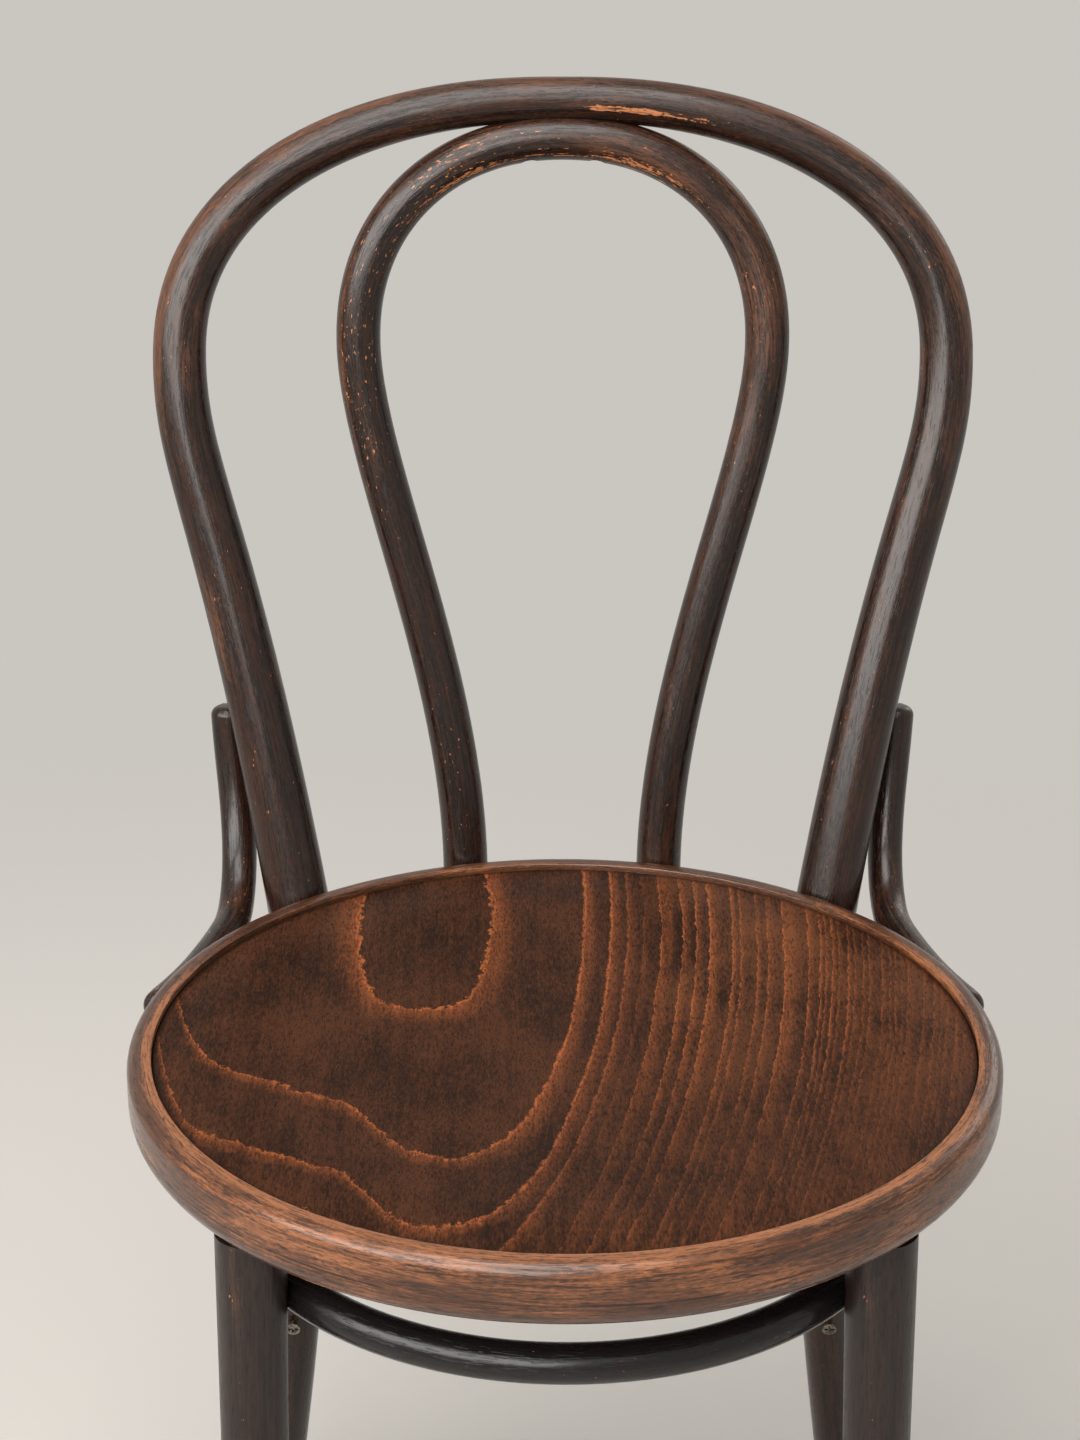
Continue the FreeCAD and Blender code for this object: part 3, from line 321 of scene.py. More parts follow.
def bezier(poles, share):
    """Point of a cubic curve, given by its four poles."""
    rest = 1 - share
    weights = (rest**3, 3 * rest**2 * share, 3 * rest * share**2, share**3)
    parts = [Vector(pole) * weight for pole, weight in zip(poles, weights)]
    return sum(parts, Vector((0, 0, 0)))


def shares(steps, first=0):
    """Even steps from 0 to 1."""
    return [k / steps for k in range(first, steps + 1)]


def bow(base_y, lean, poles, fullness, top_rise):
    """Right half of a bow from its base to its crown, leaning back from the base height:
    a long easy curve through poles, then a quarter of a superellipse."""
    half_width, shoulder = poles[-1][0], poles[-1][1]
    flat = [bezier([(*pole, 0) for pole in poles], share) for share in shares(BOW_STEPS)]
    for share in shares(BOW_STEPS, 1):
        turn = share * math.pi / 2
        across = half_width * max(math.cos(turn), 0) ** (2 / fullness)
        rise = shoulder + (top_rise - shoulder) * math.sin(turn) ** (2 / fullness)
        flat.append(Vector((across, rise, 0)))
    return [
        Vector((p.x, base_y + p.y * math.sin(lean), BASE_HEIGHT + p.y * math.cos(lean)))
        for p in flat
    ]


def mirrored(points):
    return [Vector((-p.x, p.y, p.z)) for p in points]


def both_halves(half):
    """The right half from its foot up to the crown, then the left half down again."""
    return half + mirrored(half[:-1])[::-1]


def runs(points):
    """Length along the points up to each of them."""
    lengths = [0.0]
    for here, there in zip(points, points[1:]):
        lengths.append(lengths[-1] + (there - here).length)
    return lengths


def taper(points, first, last):
    """Radii that change evenly along the points."""
    lengths = runs(points)
    return [first + (last - first) * length / lengths[-1] for length in lengths]


def at_height(points, values, height):
    """Point and value where the first half of a rod passes a height."""
    for k, (here, there) in enumerate(zip(points, points[1:])):
        if (here.z - height) * (there.z - height) <= 0:
            share = (height - here.z) / (there.z - here.z)
            return here.lerp(there, share), values[k] + (values[k + 1] - values[k]) * share


BORE_MOUTH = 0.02
BORE_SIDES = 32


def bored(piece, bores):
    """Bores round holes, each given by the place of its floor, its direction inwards and its
    radius. The mouth runs out through the surface."""
    cutter = bmesh.new()
    for floor, inwards, radius in bores:
        stance = inwards.to_track_quat("Z", "Y").to_matrix().to_4x4()
        stance.translation = floor - inwards * BORE_MOUTH / 2
        bmesh.ops.create_cone(
            cutter,
            cap_ends=True,
            segments=BORE_SIDES,
            radius1=radius,
            radius2=radius,
            depth=BORE_MOUTH,
            matrix=stance,
        )
    mesh = bpy.data.meshes.new("cutter")
    cutter.to_mesh(mesh)
    cutter.free()
    tool = bpy.data.objects.new("cutter", mesh)
    bpy.context.scene.collection.objects.link(tool)
    cut = piece.modifiers.new("bores", "BOOLEAN")
    cut.object = tool
    cut.operation = "DIFFERENCE"
    cut.solver = "EXACT"
    bpy.context.view_layer.update()
    whole = piece.evaluated_get(bpy.context.evaluated_depsgraph_get())
    piece.data = bpy.data.meshes.new_from_object(whole)
    piece.modifiers.clear()
    bpy.data.objects.remove(tool)
    bpy.data.meshes.remove(mesh)


def both_sides(bores):
    """Bores on the right and their like on the left."""
    turned = [
        (Vector((-p.x, p.y, p.z)), Vector((-way.x, way.y, way.z)), radius)
        for p, way, radius in bores
    ]
    return bores + turned


def shown(bm, name, node_names, finish, bores=(), sharp_angle=35):
    """The mesh as a piece of the chair that stands for CAD nodes."""
    bmesh.ops.recalc_face_normals(bm, faces=bm.faces)
    for face in bm.faces:
        face.smooth = True
    mesh = bpy.data.meshes.new(name)
    bm.to_mesh(mesh)
    bm.free()
    piece = bpy.data.objects.new(name, mesh)
    bpy.context.scene.collection.objects.link(piece)
    mesh.materials.append(finish.material)
    if bores:
        bored(piece, bores)
    piece.data.set_sharp_from_angle(angle=math.radians(sharp_angle))
    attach(piece, "root")
    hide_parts(*node_names)
    return piece


def with_round_ends(centres, radii, rounding):
    """The rod with its two ends rounded over."""
    for _ in range(2):
        end, radius = centres[0], radii[0]
        along = (centres[1] - end).normalized()
        inner = [k for k, centre in enumerate(centres) if (centre - end).length > rounding]
        turns = [math.pi / 2 * share for share in shares(END_STEPS)]
        tip = [end + along * (rounding * (1 - math.cos(turn))) for turn in turns]
        tip_radii = [radius - rounding * (1 - math.sin(turn)) for turn in turns]
        centres = (tip + [centres[k] for k in inner])[::-1]
        radii = (tip_radii + [radii[k] for k in inner])[::-1]
    return centres, radii


def rod_mesh(centres, radii, side, rounding=0.0):
    """A round rod: a ring of vertices extruded from each centre to the next. Side is a
    direction that it never runs along. The grain layer holds places in the straight rod:
    along it, then across it towards side and square to that."""
    if rounding:
        centres, radii = with_round_ends(centres, radii, rounding)
    lengths = runs(centres)
    bm = bmesh.new()
    grain = bm.loops.layers.float_vector.new("grain")
    straight = {}
    ring = bmesh.ops.create_circle(bm, cap_ends=True, segments=ROD_SIDES, radius=1.0)["verts"]
    edges = bm.edges[:]
    stance = Matrix()
    for k, (centre, radius) in enumerate(zip(centres, radii)):
        ahead = centres[min(k + 1, len(centres) - 1)]
        behind = centres[max(k - 1, 0)]
        along = (ahead - behind).normalized()
        first = (side - along * side.dot(along)).normalized() * radius
        second = along.cross(first)
        frame_here = Matrix((first, second, along)).transposed().to_4x4()
        frame_here.translation = centre
        if k:
            grown = bmesh.ops.extrude_edge_only(bm, edges=edges)["geom"]
            ring = [item for item in grown if isinstance(item, bmesh.types.BMVert)]
            edges = [item for item in grown if isinstance(item, bmesh.types.BMEdge)]
            edges = [edge for edge in edges if all(v in ring for v in edge.verts)]
        bmesh.ops.transform(bm, matrix=frame_here @ stance.inverted(), verts=ring)
        stance = frame_here
        for vert in ring:
            spot = stance.inverted() @ vert.co
            straight[vert] = Vector((lengths[k], radius * spot.x, radius * spot.y))
    bmesh.ops.edgeloop_fill(bm, edges=edges)
    for face in bm.faces:
        for corner in face.loops:
            corner[grain] = straight[corner.vert]
    return bm


STREAKS = (7, 220, 220)
FIBRES = (40, 900, 900)
SPECKLE = (300, 1400, 1400)
CLUMPS = (15, 60, 60)
CHIPS = (300, 900, 900)
PORES = (110, 1300, 1300)


def stained_beech(name, woods, wear_and_sheen, bare, gloss=0.21, sheen=0.43, seed=0.0, cracks=None):
    """Stained beech under satin lacquer. Woods are its colours: in the stain, where that is
    thinner and where it is rubbed. Wear gives how far it is rubbed, and on the seat ring's
    front also a painted sheen. Bare gives how much plain wood shows. Both run from 0 to 1
    as functions of the finish. The sizes of the marks above are marks in a metre, along the
    grain and across it."""
    finish = Finish(name, "dark_beech")
    stain, brown, rubbed_wood = woods
    shift = {"Vector": finish.grain(), "Location": (seed, 0, 0)}
    along = finish.node("ShaderNodeMapping", {"vector_type": "POINT"}, shift)
    streaks = finish.noise(along, STREAKS, 4, 0.65)
    fibres = finish.noise(along, FIBRES, 4, 0.7)
    speckle = finish.noise(along, SPECKLE, 2, 0.6)
    clumps = finish.noise(along, CLUMPS, 3, 0.6)
    chips = finish.noise(along, CHIPS, 2, 0.6)
    pores = finish.ramp(finish.noise(along, PORES, 2), 0.55, 0.66)
    # On the seat ring this mask also carries a painted sheen on the front.
    rubbed_and_sheen = finish.ramp(wear_and_sheen(finish) + (clumps - 0.5) * 1.4, 0.25, 0.95)
    marks = fibres * 0.45 + speckle * 0.3 + streaks * 0.25
    thin = finish.ramp(marks + rubbed_and_sheen * 0.10, 0.46, 0.66)
    flecks = finish.ramp(chips + bare(finish) * 0.15 + (clumps - 0.5) * 0.35, 0.76, 0.80)
    tone = finish.ramp(streaks * 0.35 + fibres * 0.45 + speckle * 0.2, 0.40, 0.62)
    wood = finish.blend(tone * (rubbed_and_sheen * 0.4 + 0.6), stain, brown)
    wood = finish.blend(thin * rubbed_and_sheen * 0.9, wood, rubbed_wood)
    wood = finish.blend(flecks * 0.8, wood, BARE)
    wood = finish.blend(pores * 0.7, wood, PORE)
    if cracks:
        wood = finish.blend(cracks(finish), wood, PORE)
    finish.set(
        Base_Color=wood,
        Roughness=gloss + rubbed_and_sheen * 0.16 + (speckle - 0.5) * 0.25 + pores * 0.15,
        Specular_IOR_Level=sheen,
        Normal=finish.bumps(fibres * 0.5 + speckle * 0.5 - pores, 0.00004),
    )
    return finish


RUBBED = colour(106, 69, 48)
FRAME_WOODS = (colour(17, 12, 10), colour(68, 39, 25), RUBBED)
BARE = colour(200, 128, 82)
PORE = colour(12, 9, 8)
RUB_LEFT_END = (0.006, 0.018)
RUB_RIGHT_END = (0.11, 0.04)
RUB_LOWER_EDGE = (-0.0045, -0.0028)
RUB_UPPER_EDGE = (0.0002, -0.0014)
RUB_FIBRES = (45, 700, 700)


def worn_hoop(finish):
    """Thinner stain from the seat up to the crown, most on the outer side."""
    height = finish.part(finish.place(), "Z")
    outward = finish.part(finish.grain(), "Z")
    rise = finish.ramp(height, 0.42, 0.80, 0.18, 0.42)
    return rise + finish.ramp(outward, 0.003, 0.012) * finish.ramp(height, 0.5, 0.7) * 0.30


def bare_hoop(finish):
    """A long rub on the crown's front, right of the middle, and a few chips elsewhere."""
    place, grain = finish.place(), finish.grain()
    across = finish.part(place, "X")
    outward = finish.part(grain, "Z")
    length = finish.ramp(across, *RUB_LEFT_END) * finish.ramp(across, *RUB_RIGHT_END)
    band = finish.ramp(outward, *RUB_LOWER_EDGE) * finish.ramp(outward, *RUB_UPPER_EDGE)
    facing = finish.ramp(finish.part(grain, "Y"), 0.002, 0.006)
    torn = finish.ramp(finish.noise(grain, RUB_FIBRES, 3, 0.7), 0.40, 0.52)
    rub = length * band * facing * torn * finish.ramp(finish.part(place, "Z"), 0.80, 0.82)
    return rub * 2.6 + finish.ramp(finish.part(place, "Z"), 0.45, 0.80, 0.1, 0.2)


hoop_base_y = SEAT.y + math.sqrt(HOOP_BASE_RADIUS**2 - HOOP_BASE_X**2)
hoop_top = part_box("back_hoop")[1][2]
hoop_rise = (hoop_top - HOOP_TOP_RADIUS - BASE_HEIGHT) / math.cos(HOOP_LEAN)


def back_leg_point(drop):
    """Centre of the right back leg below the waist, at a share of the waist's height."""
    flare = drop**LEG_FLARE
    waist_y = hoop_base_y - WAIST_ADVANCE
    return Vector(
        (
            WAIST_X + (FOOT_X - WAIST_X) * flare,
            waist_y + (SEAT.y + FOOT_Y - waist_y) * flare,
            WAIST_HEIGHT * (1 - drop),
        )
    )


hoop_half = bow(
    hoop_base_y,
    HOOP_LEAN,
    (
        (HOOP_BASE_X, 0),
        (HOOP_BASE_X + HOOP_BASE_SLOPE * HOOP_BASE_PULL, HOOP_BASE_PULL),
        (HOOP_HALF_WIDTH, HOOP_SHOULDER - HOOP_SHOULDER_PULL),
        (HOOP_HALF_WIDTH, HOOP_SHOULDER),
    ),
    HOOP_FULLNESS,
    hoop_rise,
)
lowest = 1 - GLIDE_HEIGHT / WAIST_HEIGHT
leg_half = [back_leg_point(lowest * (1 - share)) for share in shares(LEG_STEPS)]
waist_up = Vector((0, 0, WAIST_PULL))
base_up = (hoop_half[1] - hoop_half[0]).normalized() * WAIST_PULL
waist_poles = (leg_half[-1], leg_half[-1] + waist_up, hoop_half[0] - base_up, hoop_half[0])
waist = [bezier(waist_poles, share) for share in shares(WAIST_STEPS)]
lower = leg_half + waist[1:-1]
hoop_radii = taper(lower + hoop_half[:1], FOOT_RADIUS, HOOP_SEAT_RADIUS)[:-1]
hoop_radii += taper(hoop_half, HOOP_SEAT_RADIUS, HOOP_TOP_RADIUS)
FRONT = Vector((0, -1, 0))
BOLT_HEIGHT = 0.438
BOLT_BORE = 0.00815
BOLT_SPOT_DEPTH = 0.0023
bolt_centre, bolt_radius = at_height(lower + hoop_half, hoop_radii, BOLT_HEIGHT)
bolt_way = (Vector((SEAT.x, SEAT.y, BOLT_HEIGHT)) - bolt_centre).normalized()
bolt_floor = bolt_centre - bolt_way * (bolt_radius - BOLT_SPOT_DEPTH)
hoop_wood = stained_beech("hoop_beech", FRAME_WOODS, worn_hoop, bare_hoop)
both_radii = hoop_radii + hoop_radii[-2::-1]
shown(
    rod_mesh(both_halves(lower + hoop_half), both_radii, FRONT),
    "hoop",
    ["back_hoop"],
    hoop_wood,
    both_sides([(bolt_floor, bolt_way, BOLT_BORE)]),
)


# Inner loop: a second bent rod, let into the hoop's underside at the top and into the back
# of the seat ring at its two feet.
LOOP_BASE_X = 0.0509
LOOP_BASE_RADIUS = 0.2136
LOOP_NOTCH = 0.0029
LOOP_TOP_RADIUS = 0.011
LOOP_FOOT_RADIUS = 0.0117
LOOP_END_DROP = 0.0135
LOOP_HALF_WIDTH = 0.1039
LOOP_SHOULDER = 0.2896
LOOP_SHOULDER_PULL = 0.064
LOOP_BASE_PULL = 0.113
LOOP_BASE_SLOPE = -0.02
LOOP_FULLNESS = 2.15
LOOP_END_ROUNDING = 0.003

loop_base_y = SEAT.y + math.sqrt(LOOP_BASE_RADIUS**2 - LOOP_BASE_X**2)
lean_up = Vector((0, math.sin(HOOP_LEAN), math.cos(HOOP_LEAN)))
loop_top = hoop_half[-1] - lean_up * (HOOP_TOP_RADIUS + LOOP_TOP_RADIUS - LOOP_NOTCH)
loop_lean = math.atan2(loop_top.y - loop_base_y, loop_top.z - BASE_HEIGHT)
loop_half = bow(
    loop_base_y,
    loop_lean,
    (
        (LOOP_BASE_X, 0),
        (LOOP_BASE_X + LOOP_BASE_SLOPE * LOOP_BASE_PULL, LOOP_BASE_PULL),
        (LOOP_HALF_WIDTH, LOOP_SHOULDER - LOOP_SHOULDER_PULL),
        (LOOP_HALF_WIDTH, LOOP_SHOULDER),
    ),
    LOOP_FULLNESS,
    (loop_top.z - BASE_HEIGHT) / math.cos(loop_lean),
)
loop_down = Vector((0, math.sin(loop_lean), math.cos(loop_lean))) * LOOP_END_DROP
loop_half.insert(0, loop_half[0] - loop_down)
loop_radii = taper(loop_half, LOOP_FOOT_RADIUS, LOOP_TOP_RADIUS)


def worn_loop(finish):
    """The upper half is rubbed all round."""
    return finish.ramp(finish.part(finish.place(), "Z"), 0.50, 0.78, 0.20, 0.46)


def bare_loop(finish):
    """Chips down the front of the left bend, and open grain under the crown."""
    place, grain = finish.place(), finish.grain()
    left = finish.ramp(finish.part(place, "X"), 0.05, -0.06, 0.1, 0.8)
    high = finish.ramp(finish.part(place, "Z"), 0.60, 0.74, 0.2, 1.0)
    facing = finish.ramp(finish.part(grain, "Y"), 0.003, 0.009)
    under = finish.ramp(finish.part(grain, "Z"), -0.001, -0.006)
    crown = finish.ramp(finish.part(place, "Z"), 0.785, 0.812)
    lines = finish.ramp(finish.noise(grain, (14, 750, 750), 2, 0.5), 0.47, 0.58)
    return left * high * facing + under * crown * lines * 1.7 + 0.1


HEAD_BORE = 0.00415
HEAD_SINKING = 0.0012
LOOP_SCREW_X = 0.017
LOOP_SCREW_SINKING = 0.0034
LOOP_SCREW_BORE = 0.0043
loop_foot = Vector((LOOP_BASE_X, loop_base_y - SEAT.y, 0))
foot_way = -loop_foot.normalized()
foot_head = Vector((LOOP_BASE_X, loop_base_y, BOLT_HEIGHT))
foot_head -= foot_way * (LOOP_FOOT_RADIUS - HEAD_SINKING)
top_floor = loop_half[-1] - lean_up * (LOOP_TOP_RADIUS - LOOP_SCREW_SINKING)
top_floor.x = LOOP_SCREW_X
loop_wood = stained_beech("loop_beech", FRAME_WOODS, worn_loop, bare_loop, seed=3.7)
loop_radii += loop_radii[-2::-1]
shown(
    rod_mesh(both_halves(loop_half), loop_radii, FRONT, LOOP_END_ROUNDING),
    "inner_bow",
    ["inner_loop"],
    loop_wood,
    both_sides([(foot_head, foot_way, HEAD_BORE), (top_floor, lean_up, LOOP_SCREW_BORE)]),
)


# Seat ring: a thick strip bent round and scarfed, turned outside to a soft edge and rebated
# for the panel. Hands and legs have rubbed its outer band back to warm brown. Its front
# is also painted lighter, as a painted sheen.
RING_INNER_RADIUS = 0.165
REBATE_RADIUS = 0.193
REBATE_DEPTH = 0.011
RING_TOP_ROUNDING = 0.0065
RING_LOWER_ROUNDING = 0.014
RING_INNER_ROUNDING = 0.003
RING_ARRIS = 0.0007
RING_STEPS = 256
SAME_PLACE = 1e-5
LEG_X = 0.139
LEG_Y = 0.119
ring_radius = (SEAT_HIGH[0] - SEAT_LOW[0]) / 2
ring_bottom = SEAT_LOW[2]


def turned_mesh(corners, steps):
    """A closed outline of (radius, height) corners spun round the seat's centre."""
    bm = bmesh.new()
    verts = [bm.verts.new((SEAT.x + radius, SEAT.y, height)) for radius, height in corners]
    edges = [bm.edges.new((verts[k - 1], verts[k])) for k in range(len(verts))]
    bmesh.ops.spin(
        bm,
        geom=verts + edges,
        cent=SEAT,
        axis=(0, 0, 1),
        angle=math.tau,
        steps=steps,
        use_merge=True,
    )
    return bm


def round_over(bm, radius, height, rounding, segments):
    """Rounds the circular edge at a radius and height."""

    def on_it(vert):
        reach = math.hypot(vert.co.x - SEAT.x, vert.co.y - SEAT.y)
        return max(abs(reach - radius), abs(vert.co.z - height)) < SAME_PLACE

    edges = [edge for edge in bm.edges if all(on_it(vert) for vert in edge.verts)]
    bmesh.ops.bevel(
        bm,
        geom=edges,
        offset=rounding,
        affect="EDGES",
        segments=segments,
        profile=0.5,
        material=-1,
    )


def grain_round(bm, radius):
    """Lets the grain run round the seat's centre."""
    grain = bm.loops.layers.float_vector.new("grain")
    for face in bm.faces:
        middle = face.calc_center_median() - SEAT
        facing = math.atan2(middle.y, middle.x)
        for corner in face.loops:
            spot = corner.vert.co - SEAT
            turn = math.atan2(spot.y, spot.x) - facing
            turn = facing + math.remainder(turn, math.tau)
            corner[grain] = (turn * radius, math.hypot(spot.x, spot.y), spot.z)


ring = turned_mesh(
    [
        (RING_INNER_RADIUS, ring_bottom),
        (ring_radius, ring_bottom),
        (ring_radius, SEAT.z),
        (REBATE_RADIUS, SEAT.z),
        (REBATE_RADIUS, SEAT.z - REBATE_DEPTH),
        (RING_INNER_RADIUS, SEAT.z - REBATE_DEPTH),
    ],
    RING_STEPS,
)
for radius, height, rounding, segments in (
    (ring_radius, SEAT.z, RING_TOP_ROUNDING, 8),
    (ring_radius, ring_bottom, RING_LOWER_ROUNDING, 10),
    (RING_INNER_RADIUS, ring_bottom, RING_INNER_ROUNDING, 4),
    (REBATE_RADIUS, SEAT.z, RING_ARRIS, 3),
):
    round_over(ring, radius, height, rounding, segments)
grain_round(ring, ring_radius)
RING_WOODS = (colour(60, 37, 25), colour(110, 66, 42), colour(162, 103, 65))
TENON_HEAD_RADIUS = 0.1662
CRACK_DROP = 0.0185
CRACK_WANDER = 0.004
CRACK_EDGE = (0.0007, 0.0002)


def rim_wear_and_sheen(finish):
    """Rubbed brown on the arris beside the panel, and lighter towards the front: partly
    rubbed wear, partly a painted sheen. Darker towards the bottom of the side.
    """
    place = finish.place(SEAT)
    height = finish.part(place, "Z")
    beside_panel = finish.ramp(finish.reach(place), 0.2000, 0.1950)
    arris = beside_panel * finish.ramp(height, -0.004, -0.001)
    # Painted sheen: the front is painted lighter, partly for rubbed wear and partly for a
    # sheen.
    front = finish.ramp(finish.part(place, "Y"), 0.12, -0.18, 0.0, 0.62)
    low = finish.ramp(height, -0.030, -0.012, -0.15, 0.0)
    return front + arris * 0.6 + low


def bare_rim(finish):
    """Chips along the shoulder where the top turns down."""
    height = finish.part(finish.place(SEAT), "Z")
    shoulder = finish.ramp(height, -0.0165, -0.0125) * finish.ramp(height, -0.0080, -0.0115)
    return shoulder * 0.35 + 0.1


def cracked_rim(finish):
    """A broken line below the shoulder, where two strips of the bent wood are glued."""
    grain = finish.grain()
    wander = (finish.noise(grain, (9, 0, 0), 2) - 0.5) * CRACK_WANDER
    off = abs(finish.part(finish.place(SEAT), "Z") + CRACK_DROP + wander)
    dashes = finish.ramp(finish.noise(grain, (16, 30, 30), 2), 0.46, 0.54)
    return finish.ramp(off, *CRACK_EDGE) * dashes * 0.8


tenon_way = Vector((LEG_X, -LEG_Y, 0)).normalized()
tenon_head = SEAT + tenon_way * TENON_HEAD_RADIUS
tenon_head.z = BOLT_HEIGHT
ring_wood = stained_beech(
    "ring_beech",
    RING_WOODS,
    rim_wear_and_sheen,
    bare_rim,
    gloss=0.17,
    sheen=0.5,
    cracks=cracked_rim,
)
ring_bores = both_sides([(tenon_head, tenon_way, HEAD_BORE)])
shown(ring, "seat_rim", ["seat_ring"], ring_wood, ring_bores)


# Seat panel: moulded plywood, dished for sitting, let into the ring. Its face veneer is
# plain-sliced, so the growth lines close into loops on the left and run side by side on
# the right.
PANEL_RADIUS = 0.1926
PANEL_THICKNESS = 0.008
PANEL_RECESS = 0.003
DISH_DEPTH = 0.007
DISH_RADIUS = 0.158
PANEL_ARRIS = 0.0006
PANEL_RINGS = 24
panel_top = SEAT.z - PANEL_RECESS


def dish_height(radius):
    """How far the panel sinks at a radius."""
    return DISH_DEPTH * (1 - min(radius / DISH_RADIUS, 1) ** 2)


radii = [PANEL_RADIUS] + [DISH_RADIUS * (1 - share) for share in shares(PANEL_RINGS)]
face_line = [(r, panel_top - dish_height(r)) for r in radii]
back_line = [(r, z - PANEL_THICKNESS) for r, z in face_line[::-1]]
panel = turned_mesh(face_line + back_line, RING_STEPS)
bmesh.ops.remove_doubles(panel, verts=panel.verts, dist=SAME_PLACE / 10)
round_over(panel, PANEL_RADIUS, panel_top, PANEL_ARRIS, 3)

PANEL_STAIN = colour(36, 21, 14)
PANEL_BROWN = colour(76, 45, 29)
# Lighter warm brown: partly the wood's tone, partly a painted sheen on the back right.
PANEL_WARM_SHEEN = colour(98, 60, 38)
PANEL_LINE = colour(166, 92, 52)
# Dark for the pores, and for the painted shade at the panel's edge.
PANEL_DARK = colour(22, 14, 11)
RUN_SLANT = 0.1456
RUN_BEND = 0.414
RUN_TWIST = 0.19
ARCH_MIDDLE = 0.1062
ARCH_SLOPE = 0.5226
ARCH_STEP = (-0.1007, -0.0681, 0.0, 0.0275)
ARCH_LEFT = -0.160
ARCH_LEFT_FALL = 79.0
ARCH_RIGHT = -0.05
ARCH_RIGHT_FALL = 0.116
NOSE_CLOSENESS = 0.2051
NOSE_SHIFT = 0.001
NOSE_ROUNDING = 0.0538
CLOSED_X = -0.0695
CLOSED_HALF_WIDTH = 0.0332
CLOSED_WIDEST = 0.135
CLOSED_NARROWING = 1.6
CLOSED_END = 0.044
CLOSED_ROUNDING = 0.030
SINGLE_LINES = ((-0.001, 0.0022, 0.95), (0.0125, 0.0020, 0.85), (0.0210, 0.0016, 0.50))
LINES_START = 0.027
LINES_IN_A_METRE = 128.0
CLOSER_START = 0.112
CLOSER_LINES = 120.0
UNEVEN_IN_A_METRE = 48.0
UNEVENNESS = 3.0
LINE_CORE = 0.18
LINE_GLOW = 0.70
GLOW_STRENGTH = 0.42
# Where the painted shade at the panel's edge begins.
EDGE_SHADE_START = 0.1890


